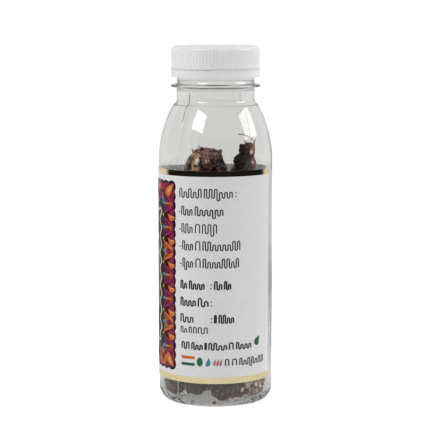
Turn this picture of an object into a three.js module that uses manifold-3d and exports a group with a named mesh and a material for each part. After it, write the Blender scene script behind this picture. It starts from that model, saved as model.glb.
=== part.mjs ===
// A clear bottle of peeled tamarind: a blow-moulded bottle with a three-start threaded neck, a ribbed
// screw cap with its sealing disc, the tamper band left on the neck, a wrap label, and the loose pods.
// Millimetres, +Z up, origin at the middle of the base on the surface that the bottle stands on.
// Angles run from -Y towards +X, the way a LatheGeometry counts its columns.

import * as THREE from "three";
import { mergeVertices } from "three/addons/utils/BufferGeometryUtils.js";
import Module from "manifold-3d";

const wasm = await Module();
wasm.setup();

// ---- Driving dimensions -----------------------------------------------------------------------

const COLUMNS = 48; // facets round the bottle, the cap, the band and the disc

const BODY = { radius: 26.5, wall: 0.5, top: 114 };
const BASE = { ringInner: 17, ringOuter: 20, heel: 6.5, pushUp: 3.3, wall: 0.8 };
const SHOULDER = { radius: 51, top: 139.3 };
const NECK = { radius: 18.15, upperRadius: 18.05, bore: 15.9, foot: 141.3, rim: 164 };
const SUPPORT_RING = { radius: 21, low: 146.9, high: 149.2, tip: 0.9, taper: 0.4 };
const BEAD = { radius: 19, low: 153.2, crestLow: 153.7, crestHigh: 154.1, high: 155.4 };
const FINISH = { radius: 17.7, chamfer: 0.6 }; // the neck's wall between its threads

const THREAD = {
  starts: 3,
  lead: 9, // rise in one turn
  rootWidth: 1.5,
  crestWidth: 0.7,
  stepAngle: 10,
  sink: 0.4, // how far a ridge is rooted in its wall
  runOut: 0.15, // height of a ridge's two ends, as a share of its full height
};
const NECK_THREAD = { crest: 18.85, low: 158.2, from: 0, span: 150 };
const CAP_THREAD = { crest: 18.05, drop: 1.2, from: 10, span: 120 };

const CAP = { radius: 20.6, bore: 19.15, foot: 156, top: 166.5, plate: 1.5, edge: 1.9 };
const RIBS = { count: 84, depth: 0.35, low: 157.3, high: 164.6, rootedAt: 19.6 };
const DISC = { radius: 18.9, low: 164.05, high: 164.95 };
const BAND = { radius: 20.6, bore: 19.3, low: 152.2, high: 155.7, lip: 18.65, lipTop: 153.1 };
const BRIDGES = { count: 12, width: 0.9, thickness: 0.7, sink: 0.3, gap: 0.1 };

const LABEL = { inner: 26.62, thickness: 0.2, low: 12, high: 110.5, from: 93, to: 69 + 360 };

// Each peeled pod is a row of beads, one for each seed inside it.
const PODS = {
  dropped: 26,
  fewestBeads: 3,
  mostBeads: 5,
  beadRadius: [6.6, 8.1],
  endShrink: 0.84, // the first and last bead, as a share of the others
  spacing: 1.1, // between beads, in bead radii
  bend: [4, 16], // degrees from one bead to the next
  clearance: 0.5, // kept between neighbours and from the bottle
  seed: 7,
};
// The last two pods are laid in by hand: one arched over the top of the pile, one on end against the
// wall. bow is how far the middle of the row of beads stands off the line between its ends.
const LAID_BY_HAND = [
  { radii: [5.5, 6.7, 6.3, 5], from: [-10.2, -9.4, 109.4], to: [1.2, -5.4, 108.9], bow: [0, 0, 4.9] },
  { radii: [6, 6.2, 6, 4.5], from: [10.8, -7, 98.6], to: [14.6, -8.6, 118.2], bow: [0.4, 0.3, 0] },
];
const SETTLING = {
  gravity: 9810,
  step: 1 / 240,
  sweeps: 10,
  drag: 0.98,
  rubbing: 0.82, // speed that a touching bead keeps
  stepsBetweenDrops: 90,
  growSteps: 160,
  lastSteps: 300,
};
const SKIN = { columns: 10, ringsPerBead: 3, grooveDepth: 0.1, pitDepth: 0.07 };

// ---- Small helpers ----------------------------------------------------------------------------

const degrees = (angle) => (angle * Math.PI) / 180;

// A repeatable stream of numbers from 0 to 1.
function seededRandom(seed) {
  let state = seed >>> 0;
  return () => {
    state = (state + 0x6d2b79f5) >>> 0;
    let t = Math.imul(state ^ (state >>> 15), 1 | state);
    t = (t + Math.imul(t ^ (t >>> 7), 61 | t)) ^ t;
    return ((t ^ (t >>> 14)) >>> 0) / 4294967296;
  };
}

// Points [r, z] of an arc about a centre, both ends included.
function arc([r, z], radius, from, to, steps) {
  return Array.from({ length: steps + 1 }, (_, i) => {
    const angle = degrees(from + ((to - from) * i) / steps);
    return [r + radius * Math.cos(angle), z + radius * Math.sin(angle)];
  });
}

// A profile of [r, z] points turned about the Z axis.
function turned(profile, { columns = COLUMNS, from = 0, span = 360 } = {}) {
  const points = profile.map(([r, z]) => new THREE.Vector2(r, z));
  return new THREE.LatheGeometry(points, columns, degrees(from), degrees(span)).rotateX(Math.PI / 2);
}

function solidOf(geometry) {
  const bare = geometry.clone();
  bare.deleteAttribute("normal");
  bare.deleteAttribute("uv");
  const merged = mergeVertices(bare, 1e-4);
  const corners = merged.index.array;
  const triangles = [];
  for (let i = 0; i < corners.length; i += 3) {
    const [a, b, c] = corners.slice(i, i + 3);
    if (a !== b && b !== c && c !== a) triangles.push(a, b, c);
  }
  return new wasm.Manifold(
    new wasm.Mesh({
      numProp: 3,
      vertProperties: new Float32Array(merged.attributes.position.array),
      triVerts: new Uint32Array(triangles),
    }),
  );
}

function geometryOf(solid) {
  const { vertProperties, triVerts } = solid.getMesh();
  const geometry = new THREE.BufferGeometry();
  geometry.setAttribute("position", new THREE.BufferAttribute(vertProperties, 3));
  geometry.setIndex(new THREE.BufferAttribute(triVerts, 1));
  geometry.computeVertexNormals();
  return geometry;
}

// Rings of points, all alike in number, joined into a closed skin with a fan over each end.
function skinned(rings, firstTip, lastTip) {
  const count = rings[0].length;
  const end = (rings.length - 1) * count;
  const tips = rings.length * count;
  const faces = [];
  for (let j = 0; j < count; j++) {
    const next = (j + 1) % count;
    for (let row = 0; row < end; row += count) {
      faces.push(row + j, row + next, row + next + count);
      faces.push(row + j, row + next + count, row + j + count);
    }
    faces.push(tips, next, j);
    faces.push(tips + 1, end + j, end + next);
  }
  const geometry = new THREE.BufferGeometry().setFromPoints([...rings.flat(), firstTip, lastTip]);
  geometry.setIndex(faces);
  geometry.computeVertexNormals();
  return geometry;
}

function middleOf(points) {
  return points.reduce((sum, p) => sum.add(p), new THREE.Vector3()).divideScalar(points.length);
}

// ---- Threads ----------------------------------------------------------------------------------

// One ridge along a helix, standing out of (or into) the wall at rootRadius as far as crestRadius.
function threadRidge({ rootRadius, crestRadius, from, span, low }) {
  const outwards = crestRadius > rootRadius;
  const sunk = rootRadius + (outwards ? -THREAD.sink : THREAD.sink);
  const steps = Math.round(span / THREAD.stepAngle);
  const rings = [];
  for (let i = 0; i <= steps; i++) {
    const angle = degrees(from + (span * i) / steps);
    const z = low + ((THREAD.lead * span) / 360) * (i / steps);
    const height = i === 0 || i === steps ? THREAD.runOut : 1;
    const crest = rootRadius + (crestRadius - rootRadius) * height;
    const at = (r, dz) => new THREE.Vector3(r * Math.sin(angle), -r * Math.cos(angle), z + dz);
    const section = [
      at(sunk, THREAD.rootWidth / 2),
      at(sunk, -THREAD.rootWidth / 2),
      at(crest, -THREAD.crestWidth / 2),
      at(crest, THREAD.crestWidth / 2),
    ];
    rings.push(outwards ? section.reverse() : section);
  }
  return skinned(rings, middleOf(rings[0]), middleOf(rings[steps]));
}

function withThreads(wall, ridge) {
  let solid = wall;
  for (let k = 0; k < THREAD.starts; k++) {
    const from = ridge.from + (360 / THREAD.starts) * k;
    solid = solid.add(solidOf(threadRidge({ ...ridge, from })));
  }
  return solid;
}

// ---- Bottle -----------------------------------------------------------------------------------

const SHOULDER_CENTRE = [BODY.radius - SHOULDER.radius, BODY.top];
const SHOULDER_END = THREE.MathUtils.radToDeg(
  Math.asin((SHOULDER.top - BODY.top) / SHOULDER.radius),
);

// Height of the base's dome over its ring, at a distance from the axis.
const domeHeight = (r) => BASE.pushUp * Math.max(0, 1 - (r / BASE.ringInner) ** 2);

function bottleGeometry() {
  const ring = SUPPORT_RING;
  const ringMiddle = (ring.low + ring.high) / 2;
  const domeRadii = [0, 6, 12, BASE.ringInner];
  const outside = [
    ...domeRadii.map((r) => [r, domeHeight(r)]),
    ...arc([BASE.ringOuter, BASE.heel], BASE.heel, -90, 0, 5),
    ...arc(SHOULDER_CENTRE, SHOULDER.radius, 0, SHOULDER_END, 6),
    [NECK.radius + 0.4, NECK.foot - 0.9],
    [NECK.radius, NECK.foot],
    [NECK.radius, ring.low],
    [ring.radius - ring.taper, ringMiddle - ring.tip / 2],
    [ring.radius, ringMiddle],
    [ring.radius - ring.taper, ringMiddle + ring.tip / 2],
    [NECK.upperRadius, ring.high],
    [NECK.upperRadius, BEAD.low],
    [BEAD.radius, BEAD.crestLow],
    [BEAD.radius, BEAD.crestHigh],
    [FINISH.radius, BEAD.high],
    [FINISH.radius, NECK.rim - FINISH.chamfer],
    [FINISH.radius - FINISH.chamfer, NECK.rim],
  ];
  const inside = [
    [NECK.bore, NECK.rim],
    [NECK.bore, ring.low],
    [NECK.bore + 1.3, NECK.foot + 0.9],
    [NECK.radius - 0.2, NECK.foot - 1.2],
    ...arc(SHOULDER_CENTRE, SHOULDER.radius - BODY.wall, SHOULDER_END - 0.8, 0, 5),
    ...arc([BASE.ringOuter, BASE.heel + BASE.wall - BODY.wall], BASE.heel - BODY.wall, 0, -90, 4),
    ...domeRadii.map((r) => [r, domeHeight(r) + BASE.wall]).reverse(),
  ];
  const walls = solidOf(turned([...outside, ...inside]));
  const ridges = {
    ...NECK_THREAD,
    rootRadius: FINISH.radius,
    crestRadius: NECK_THREAD.crest,
  };
  return geometryOf(withThreads(walls, ridges));
}

// ---- Closure ----------------------------------------------------------------------------------

// A ring whose outside zigzags between the crests and the roots of the grip ribs.
function ribRing() {
  const outline = Array.from({ length: 2 * RIBS.count }, (_, i) => {
    const angle = (Math.PI * i) / RIBS.count;
    const r = i % 2 === 0 ? CAP.radius : CAP.radius - RIBS.depth;
    return new THREE.Vector2(r * Math.cos(angle), r * Math.sin(angle));
  });
  const shape = new THREE.Shape(outline);
  shape.holes.push(new THREE.Path().absarc(0, 0, RIBS.rootedAt, 0, 2 * Math.PI, true));
  return new THREE.ExtrudeGeometry(shape, {
    depth: RIBS.high - RIBS.low,
    bevelEnabled: false,
    curveSegments: COLUMNS,
  }).translate(0, 0, RIBS.low);
}

function capGeometry() {
  const ribRoot = CAP.radius - RIBS.depth;
  const ceiling = CAP.top - CAP.plate;
  const shell = turned([
    [0, ceiling],
    [CAP.bore, ceiling],
    [CAP.bore, CAP.foot + 0.4],
    [CAP.bore + 0.3, CAP.foot],
    [CAP.radius, CAP.foot],
    [CAP.radius, RIBS.low - 0.3],
    [ribRoot, RIBS.low],
    [ribRoot, RIBS.high - 0.2],
    ...arc([CAP.radius - CAP.edge, CAP.top - CAP.edge], CAP.edge, 0, 90, 4),
    [0, CAP.top],
  ]);
  const ridges = {
    ...CAP_THREAD,
    rootRadius: CAP.bore,
    crestRadius: CAP_THREAD.crest,
    low:
      NECK_THREAD.low +
      (THREAD.lead * (CAP_THREAD.from - NECK_THREAD.from)) / 360 -
      CAP_THREAD.drop,
  };
  return geometryOf(withThreads(solidOf(shell).add(solidOf(ribRing())), ridges));
}

function discGeometry() {
  return turned([
    [0, DISC.low],
    [DISC.radius, DISC.low],
    [DISC.radius, DISC.high],
    [0, DISC.high],
  ]);
}

function bandGeometry() {
  const ring = turned([
    [BAND.lip, BAND.low],
    [BAND.radius - 0.2, BAND.low],
    [BAND.radius, BAND.low + 0.3],
    [BAND.radius, BAND.high - 0.1],
    [BAND.radius - 0.1, BAND.high],
    [BAND.bore, BAND.high],
    [BAND.bore, BAND.lipTop + 0.2],
    [BAND.lip, BAND.lipTop],
    [BAND.lip, BAND.low],
  ]);
  let solid = solidOf(ring);
  const top = CAP.foot - BRIDGES.gap;
  const height = top - BAND.high + BRIDGES.sink;
  for (let k = 0; k < BRIDGES.count; k++) {
    const bridge = new THREE.BoxGeometry(BRIDGES.width, BRIDGES.thickness, height)
      .translate(0, -(BAND.radius + BAND.bore) / 2, top - height / 2)
      .rotateZ((2 * Math.PI * (k + 0.5)) / BRIDGES.count);
    solid = solid.add(solidOf(bridge));
  }
  return geometryOf(solid);
}

// ---- Label ------------------------------------------------------------------------------------

function labelGeometry() {
  const outer = LABEL.inner + LABEL.thickness;
  const span = LABEL.to - LABEL.from;
  const columns = Math.round((COLUMNS * span) / 360);
  const section = [
    [LABEL.inner, LABEL.low],
    [outer, LABEL.low],
    [outer, LABEL.high],
    [LABEL.inner, LABEL.high],
  ];
  const rings = Array.from({ length: columns + 1 }, (_, i) => {
    const angle = degrees(LABEL.from + (span * i) / columns);
    return section
      .map(([r, z]) => new THREE.Vector3(r * Math.sin(angle), -r * Math.cos(angle), z))
      .reverse();
  });
  return skinned(rings, middleOf(rings[0]), middleOf(rings[columns]));
}

// ---- Peeled pods: how they lie ------------------------------------------------------------------

// A pod's beads, and the distances between them that keep its shape.
function makePod(places, radii) {
  const beads = places.map((place, i) => ({
    place: place.clone(),
    before: place.clone(),
    radius: radii[i],
    touching: false,
  }));
  const ties = [];
  for (let i = 0; i < beads.length; i++) {
    for (let j = i + 1; j < beads.length; j++) {
      ties.push({ a: beads[i], b: beads[j], length: places[i].distanceTo(places[j]) });
    }
  }
  return { beads, ties, held: false };
}

// A pod at a random slant above the pile, bent in one plane as tamarind grows.
function randomPod(random, height) {
  const between = ([low, high]) => low + (high - low) * random();
  const choices = PODS.mostBeads - PODS.fewestBeads + 1;
  const count = PODS.fewestBeads + Math.floor(random() * choices);
  const bend = degrees(between(PODS.bend));
  const radii = Array.from({ length: count }, (_, i) => {
    const shrink = i === 0 || i === count - 1 ? PODS.endShrink : 1;
    return between(PODS.beadRadius) * shrink;
  });
  const places = [new THREE.Vector3()];
  for (let i = 1; i < count; i++) {
    const heading = bend * i;
    const gap = (PODS.spacing * (radii[i - 1] + radii[i])) / 2;
    const step = new THREE.Vector3(Math.cos(heading), Math.sin(heading), 0).multiplyScalar(gap);
    places.push(places[i - 1].clone().add(step));
  }
  const middle = middleOf(places);
  const slant = new THREE.Euler(2 * Math.PI * random(), 1.1 * random(), 2 * Math.PI * random());
  const aim = new THREE.Vector3(8 * random() - 4, 8 * random() - 4, height);
  places.forEach((place) => place.sub(middle).applyEuler(slant).add(aim));
  return makePod(places, radii);
}

// A pod whose place is chosen: its beads run between two points, bowed in the middle.
function laidPod({ radii, from, to, bow }) {
  const start = new THREE.Vector3(...from);
  const end = new THREE.Vector3(...to);
  const offset = new THREE.Vector3(...bow);
  const places = radii.map((_, i) => {
    const share = i / (radii.length - 1);
    const place = start.clone().lerp(end, share);
    return place.addScaledVector(offset, Math.sin(Math.PI * share));
  });
  return { ...makePod(places, radii), held: true };
}

// Moves a bead back inside the bottle.
function confine(bead, radius) {
  const { place } = bead;
  const reach = Math.hypot(place.x, place.y);
  const wall = BODY.radius * Math.cos(Math.PI / COLUMNS) - BODY.wall - PODS.clearance;
  const pullIn = (limit) => {
    if (reach <= limit) return;
    place.x *= limit / reach;
    place.y *= limit / reach;
    bead.touching = true;
  };
  pullIn(wall - radius);
  if (place.z > BODY.top) {
    const rise = place.z - SHOULDER_CENTRE[1];
    const room = SHOULDER.radius - BODY.radius + wall - radius;
    pullIn(SHOULDER_CENTRE[0] + Math.sqrt(Math.max(0, room ** 2 - rise ** 2)));
  }
  const heel = [BASE.ringOuter, BASE.heel + BASE.wall - BODY.wall];
  const room = Math.max(0, BASE.heel - BODY.wall - PODS.clearance - radius);
  if (reach > heel[0] && place.z < heel[1]) {
    const away = Math.hypot(reach - heel[0], place.z - heel[1]);
    if (away > room) {
      pullIn(heel[0] + ((reach - heel[0]) * room) / away);
      place.z = heel[1] + ((place.z - heel[1]) * room) / away;
    }
  }
  let floor = 0;
  for (let across = -1; across <= 1; across += 0.25) {
    const under = Math.abs(reach + across * radius);
    const drop = radius * Math.sqrt(1 - across ** 2);
    floor = Math.max(floor, domeHeight(under) + BASE.wall + PODS.clearance + drop);
  }
  if (place.z < floor) {
    place.z = floor;
    bead.touching = true;
  }
}

// Pushes two beads apart along the line between them; a held bead doesn't give way.
function separate(a, b, distance, aShare, onlyApart) {
  const apart = b.place.clone().sub(a.place);
  const length = apart.length();
  if (length === 0 || (onlyApart && length >= distance)) return false;
  apart.multiplyScalar((length - distance) / length);
  a.place.addScaledVector(apart, aShare);
  b.place.addScaledVector(apart, aShare - 1);
  return true;
}

function sweep(pods, growth) {
  const size = (pod, bead) => bead.radius * (pod.held ? growth : 1);
  for (let i = 0; i < pods.length; i++) {
    for (let j = i + 1; j < pods.length; j++) {
      if (pods[i].held && pods[j].held) continue;
      const share = pods[i].held ? 0 : pods[j].held ? 1 : 0.5;
      for (const a of pods[i].beads) {
        for (const b of pods[j].beads) {
          const distance = size(pods[i], a) + size(pods[j], b) + PODS.clearance;
          if (Math.abs(a.place.z - b.place.z) > distance) continue;
          if (separate(a, b, distance, share, true)) {
            a.touching = true;
            b.touching = true;
          }
        }
      }
    }
  }
  for (const pod of pods) {
    if (pod.held) continue;
    pod.ties.forEach(({ a, b, length }) => separate(a, b, length, 0.5, false));
    pod.beads.forEach((bead) => confine(bead, bead.radius));
    pod.ties.forEach(({ a, b, length }) => separate(a, b, length, 0.5, false));
  }
}

// Lets the pods fall and settle for a number of time steps; held pods swell from nothing meanwhile.
function settle(pods, steps, growthAt = () => 1) {
  const { gravity, step, drag, rubbing, sweeps } = SETTLING;
  for (let i = 0; i < steps; i++) {
    const moving = pods.filter((pod) => !pod.held).flatMap((pod) => pod.beads);
    for (const bead of moving) {
      const speed = bead.place.clone().sub(bead.before);
      speed.multiplyScalar(bead.touching ? rubbing : drag);
      speed.z -= gravity * step * step;
      bead.before.copy(bead.place);
      bead.place.add(speed);
      bead.touching = false;
    }
    for (let k = 0; k < sweeps; k++) sweep(pods, growthAt(i / steps));
  }
}

function filledBottle() {
  const random = seededRandom(PODS.seed);
  const pods = [];
  let top = BASE.pushUp;
  for (let k = 0; k < PODS.dropped; k++) {
    pods.push(randomPod(random, top + 28));
    settle(pods, SETTLING.stepsBetweenDrops);
    top = Math.max(...pods.flatMap((pod) => pod.beads.map((bead) => bead.place.z)));
  }
  pods.push(...LAID_BY_HAND.map(laidPod));
  settle(pods, SETTLING.growSteps, (share) => share);
  settle(pods, SETTLING.lastSteps);
  return pods;
}

// ---- Peeled pods: their skin --------------------------------------------------------------------

// Radius of the skin at a distance along the row of beads: the beads' outline, waisted between them.
function skinRadius(stations, radii, along) {
  return Math.max(
    ...stations.map((station, i) => Math.sqrt(Math.max(0, radii[i] ** 2 - (along - station) ** 2))),
  );
}

// A lumpy skin over the row of beads, never wider than they are.
function podGeometry({ beads }, random) {
  const places = beads.map((bead) => bead.place);
  const radii = beads.map((bead) => bead.radius);
  const stations = [0];
  for (let i = 1; i < places.length; i++) {
    stations.push(stations[i - 1] + places[i].distanceTo(places[i - 1]));
  }
  const last = places.length - 1;
  const length = stations[last];
  const chord = places[last].clone().sub(places[0]).normalize();
  const binormal = places[1].clone().sub(places[0]).cross(chord);
  if (binormal.length() < 0.01) binormal.set(0.3, 0.5, 0.8).cross(chord);
  binormal.normalize();

  const pointAt = (along) => {
    const i = THREE.MathUtils.clamp(stations.findIndex((s) => s > along) - 1, 0, last - 1);
    const piece = along >= length ? last - 1 : along < 0 ? 0 : i;
    const tangent = places[piece + 1].clone().sub(places[piece]).normalize();
    return { tangent, centre: places[piece].clone().addScaledVector(tangent, along - stations[piece]) };
  };

  const phases = Array.from({ length: 6 }, () => 2 * Math.PI * random());
  const hollow = (angle, along) =>
    SKIN.grooveDepth * (0.5 + 0.5 * Math.cos(3 * angle + phases[0] + 0.12 * along)) +
    SKIN.pitDepth * (0.5 + 0.5 * Math.cos(2 * angle + phases[1]) * Math.cos(0.8 * along + phases[2])) +
    SKIN.pitDepth * (0.5 + 0.5 * Math.cos(5 * angle + phases[3]) * Math.cos(0.45 * along + phases[4]));

  const alongs = [-0.86 * radii[0], -0.5 * radii[0]];
  for (let i = 0; i < last; i++) {
    for (let k = 0; k < SKIN.ringsPerBead; k++) {
      alongs.push(stations[i] + ((stations[i + 1] - stations[i]) * k) / SKIN.ringsPerBead);
    }
  }
  alongs.push(length, length + 0.5 * radii[last], length + 0.86 * radii[last]);

  const rings = alongs.map((along) => {
    const { tangent, centre } = pointAt(along);
    const normal = binormal.clone().cross(tangent).normalize();
    const side = tangent.clone().cross(normal);
    return Array.from({ length: SKIN.columns }, (_, j) => {
      const angle = (2 * Math.PI * j) / SKIN.columns;
      const r = skinRadius(stations, radii, along) * (1 - hollow(angle, along));
      return centre
        .clone()
        .addScaledVector(normal, r * Math.cos(angle))
        .addScaledVector(side, r * Math.sin(angle));
    });
  });
  const firstTip = pointAt(-0.97 * radii[0]).centre;
  const lastTip = pointAt(length + 0.97 * radii[last]).centre;
  return skinned(rings, firstTip, lastTip);
}

// ---- Assembly ---------------------------------------------------------------------------------

const MATERIALS = {
  clearPet: { color: 0xdcdcd8, roughness: 0.06, metalness: 0, transparent: true, opacity: 0.3 },
  whiteCap: { color: 0xe6e6e4, roughness: 0.38, metalness: 0 },
  foam: { color: 0xf2f1ec, roughness: 0.6, metalness: 0 },
  paper: { color: 0xe9e9ea, roughness: 0.45, metalness: 0 },
  tamarind: { color: 0x3b2018, roughness: 0.5, metalness: 0 },
};

function piece(name, geometry, finish) {
  const mesh = new THREE.Mesh(geometry, new THREE.MeshStandardMaterial(MATERIALS[finish]));
  mesh.name = name;
  return mesh;
}

const bottleOfTamarind = new THREE.Group();
bottleOfTamarind.add(
  piece("bottle", bottleGeometry(), "clearPet"),
  piece("tamper_band", bandGeometry(), "whiteCap"),
  piece("cap", capGeometry(), "whiteCap"),
  piece("cap_liner", discGeometry(), "foam"),
  piece("label", labelGeometry(), "paper"),
);

const skinRandom = seededRandom(PODS.seed + 1);
filledBottle().forEach((pod, i) => {
  const name = `tamarind_${String(i + 1).padStart(2, "0")}`;
  bottleOfTamarind.add(piece(name, podGeometry(pod, skinRandom), "tamarind"));
});

export default bottleOfTamarind;
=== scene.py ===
"""A clear bottle of peeled tamarind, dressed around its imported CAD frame.

Sizes are in millimetres, as on the object, and turn into metres where a mesh is made.
Angles run from the front (-Y) towards the right (+X), in degrees. On the label, s is the distance
round the label from the front, towards the right.
"""

import math
import random

import bmesh
import bpy
import numpy as np
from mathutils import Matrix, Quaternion, Vector, kdtree, noise


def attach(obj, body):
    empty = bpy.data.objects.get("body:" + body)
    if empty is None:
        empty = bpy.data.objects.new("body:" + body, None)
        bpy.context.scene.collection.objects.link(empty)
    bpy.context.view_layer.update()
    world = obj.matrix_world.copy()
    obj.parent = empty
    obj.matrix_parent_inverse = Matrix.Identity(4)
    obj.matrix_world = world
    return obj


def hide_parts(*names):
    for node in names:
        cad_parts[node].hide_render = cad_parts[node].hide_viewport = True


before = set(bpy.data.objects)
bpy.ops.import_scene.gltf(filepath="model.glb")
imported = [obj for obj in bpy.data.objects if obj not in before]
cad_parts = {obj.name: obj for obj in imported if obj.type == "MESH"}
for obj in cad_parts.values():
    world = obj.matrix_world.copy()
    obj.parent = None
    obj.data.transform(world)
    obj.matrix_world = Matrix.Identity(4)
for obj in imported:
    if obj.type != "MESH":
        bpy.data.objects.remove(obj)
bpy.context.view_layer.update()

MM = 0.001

# ---- Driving dimensions -------------------------------------------------------------------------

BODY_RADIUS = 26.5
BODY_TOP = 114.0
BODY_WALL, NECK_WALL = 0.5, 0.8
RING_INNER, RING_OUTER = 17.0, 20.0  # the ring that the bottle stands on
HEEL = 6.5
PUSH_UP = 3.3
BASE_WALL = 0.8
SHOULDER_RADIUS = 51.0
SHOULDER_TOP = 139.3
SHOULDER_CENTRE = (BODY_RADIUS - SHOULDER_RADIUS, BODY_TOP)
SHOULDER_END = math.degrees(math.asin((SHOULDER_TOP - BODY_TOP) / SHOULDER_RADIUS))
NECK_RADIUS = 18.15
NECK_UPPER_RADIUS = 18.05
NECK_FOOT = 141.3
NECK_RIM = 164.0
BORE = 15.9
RING_RADIUS, RING_LOW, RING_TIP, RING_HIGH = 21.0, 146.9, 148.05, 149.2  # the support ring
BEAD_RADIUS, BEAD_LOW, BEAD_HIGH = 19.0, 153.2, 155.4
FINISH_RADIUS = 17.7
WALL_SWELL = 0.05  # how far the blown wall's thickness wanders
BASE_RIPPLE = 0.05  # and the same in the heel, in short waves

THREAD_STARTS = 3
THREAD_LEAD = 9.0
THREAD_ROOT, THREAD_CREST = 1.5, 0.7
RUN_OUT = 8.0  # degrees over which a ridge fades at its ends
NECK_THREAD = {"low": 158.2, "start": 0.0, "span": 150.0, "height": 1.15}
CAP_THREAD = {"low": 157.25, "start": 10.0, "span": 120.0, "height": -1.1}

CAP_RADIUS, CAP_BORE, CAP_FOOT, CAP_TOP = 20.6, 19.15, 155.93, 166.5
CAP_PLATE = 1.5
CAP_EDGE = 1.9
GATE_RADIUS = 1.2  # the moulding mark in the middle of the cap
RIBS, RIB_DEPTH, RIB_LOW, RIB_HIGH = 84, 0.23, 157.3, 164.8
BAND_BORE, BAND_LOW, BAND_HIGH, BAND_LIP, BAND_LIP_TOP = 19.3, 152.2, 155.92, 18.65, 153.1
BRIDGES, BRIDGE_WIDTH, BRIDGE_THICKNESS = 12, 0.9, 0.7
# Bits of the slit that stand open, by angle.
NOTCHES = (-43.6, -31.9, -23.5, -14.3, -10.9, -7.0, 72.0, 108.0, 141.0, 168.0, -76.0, -128.0)
NOTCH_WIDTH, NOTCH_DEPTH = 0.75, 0.32
FINE_EDGE = 0.008  # chamfer where the cap and the band meet

SEAMS = (-41.0, 139.0)  # the mould's parting lines
SEAM_HEIGHT, SEAM_WIDTH = 0.25, 0.24
SEAM_BELOW, SEAM_GROWS = 0.17, (122.0, 138.0)  # its height lower down, and where it grows from that

LABEL_INNER, LABEL_OUTER = 26.62, 26.78
LABEL_LOW, LABEL_HIGH = 12.0, 110.3
LABEL_FROM, LABEL_TO = -248.0, 66.0  # degrees: a bare strip is left on the right side
LABEL_TILT = 0.004  # rise of the label per millimetre towards the right
LABEL_DIP, LABEL_RISE = 1.1, 0.4  # how far its top sinks at the back, and its foot rises at the sides
FOIL_TOP, FOIL_BOTTOM = 2.6, 2.9  # widths of the gold edges
INK_STEP = 0.03  # rise of one print layer over the last
INK_ROOT = 0.012  # how deep a layer is rooted in the one below
CUT_STEP = 1.0  # widest flat strip of a printed shape

SECTION_STEP, FINISH_STEP = 2.2, 0.2  # longest stretch of the bottle's section, and of its thread
CAP_STEP, CAP_THREAD_STEP = 0.5, 0.25
BOTTLE_TURNS, BAND_TURNS, RIB_TURNS = 180, 144, 8  # points round the bottle, the band and one rib
SEAM_TURNS = (-1.8, -1.2, -0.8, -0.55, -0.3, 0.0, 0.3, 0.55, 0.8, 1.2, 1.8)  # and across a seam
WRAP_ROWS = 241  # along the label
SHARP_BOTTLE, SHARP_CAP, SHARP_LABEL = 50, 36, 40  # degrees from which an edge stays sharp


# ---- Mesh helpers -------------------------------------------------------------------------------


def arc(centre, radius, start, end, steps):
    """Points (r, z) of an arc about a centre, both ends included."""
    angles = np.radians(np.linspace(start, end, steps + 1))
    return [(centre[0] + radius * math.cos(a), centre[1] + radius * math.sin(a)) for a in angles]


def dense(points, step):
    """The same outline with extra points, so that no stretch is longer than step."""
    out = [points[0]]
    for (r0, z0), (r1, z1) in zip(points, points[1:]):
        pieces = max(1, math.ceil(math.hypot(r1 - r0, z1 - z0) / step))
        out += [
            (r0 + (r1 - r0) * i / pieces, z0 + (z1 - z0) * i / pieces)
            for i in range(1, pieces + 1)
        ]
    return out


def eased(upper, lower, steps=10):
    """Points from an upright wall at upper down to lower, on a curve that leans out more and more."""
    (r0, z0), (r1, z1) = upper, lower
    return [(r0 + (r1 - r0) * t**2.2, z0 + (z1 - z0) * t) for t in np.linspace(0, 1, steps + 1)]


def new_object(name, vertices, faces, *materials, smooth=True):
    """A mesh object from points in millimetres."""
    mesh = bpy.data.meshes.new(name)
    mesh.from_pydata([tuple(float(c) * MM for c in v) for v in vertices], [], faces)
    mesh.validate()
    for material in materials:
        mesh.materials.append(material)
    if smooth:
        mesh.shade_smooth()
    obj = bpy.data.objects.new(name, mesh)
    bpy.context.collection.objects.link(obj)
    return obj


def revolve(name, profile, angles, material, skin=None):
    """Turns a profile of (r, z) about the axis at the given angles. A profile that starts or ends on
    the axis gets a single point there, and any other closes on itself. skin(row, r, z, angles) says
    how far the surface stands out of the profile at one of its rows."""
    angles = np.asarray(angles, dtype=float)
    count = len(angles)
    sines, cosines = np.sin(np.radians(angles)), np.cos(np.radians(angles))
    vertices, rows = [], []
    for row, (r, z) in enumerate(profile):
        if r < 1e-6:
            rows.append([len(vertices)] * count)
            vertices.append((0.0, 0.0, z))
            continue
        radii = np.full(count, float(r))
        if skin is not None:
            radii = radii + skin(row, r, z, angles)
        rows.append(list(range(len(vertices), len(vertices) + count)))
        vertices += list(zip(radii * sines, -radii * cosines, [z] * count))
    if profile[0][0] > 1e-6:
        rows.append(rows[0])
    faces = []
    for low, high in zip(rows, rows[1:]):
        for j in range(count):
            k = (j + 1) % count
            corners = [low[j], low[k], high[k], high[j]]
            face = [c for i, c in enumerate(corners) if c != corners[i - 1]]
            if len(face) > 2:
                faces.append(face)
    return new_object(name, vertices, faces, material)


def polar(r, turn, z):
    """The place at distance r from the axis, turned from the front by so many radians."""
    return (r * math.sin(turn), -r * math.cos(turn), z)


def even_angles(count):
    return np.arange(count) * 360.0 / count - 180.0


def turned_from(angles, about):
    """How far angles lie from another one, from -180 to 180."""
    return (angles - about + 180.0) % 360.0 - 180.0


def keep_sharp(obj, degrees):
    """Smooth shading that still breaks at edges sharper than this."""
    obj.data.set_sharp_from_angle(angle=math.radians(degrees))


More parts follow.
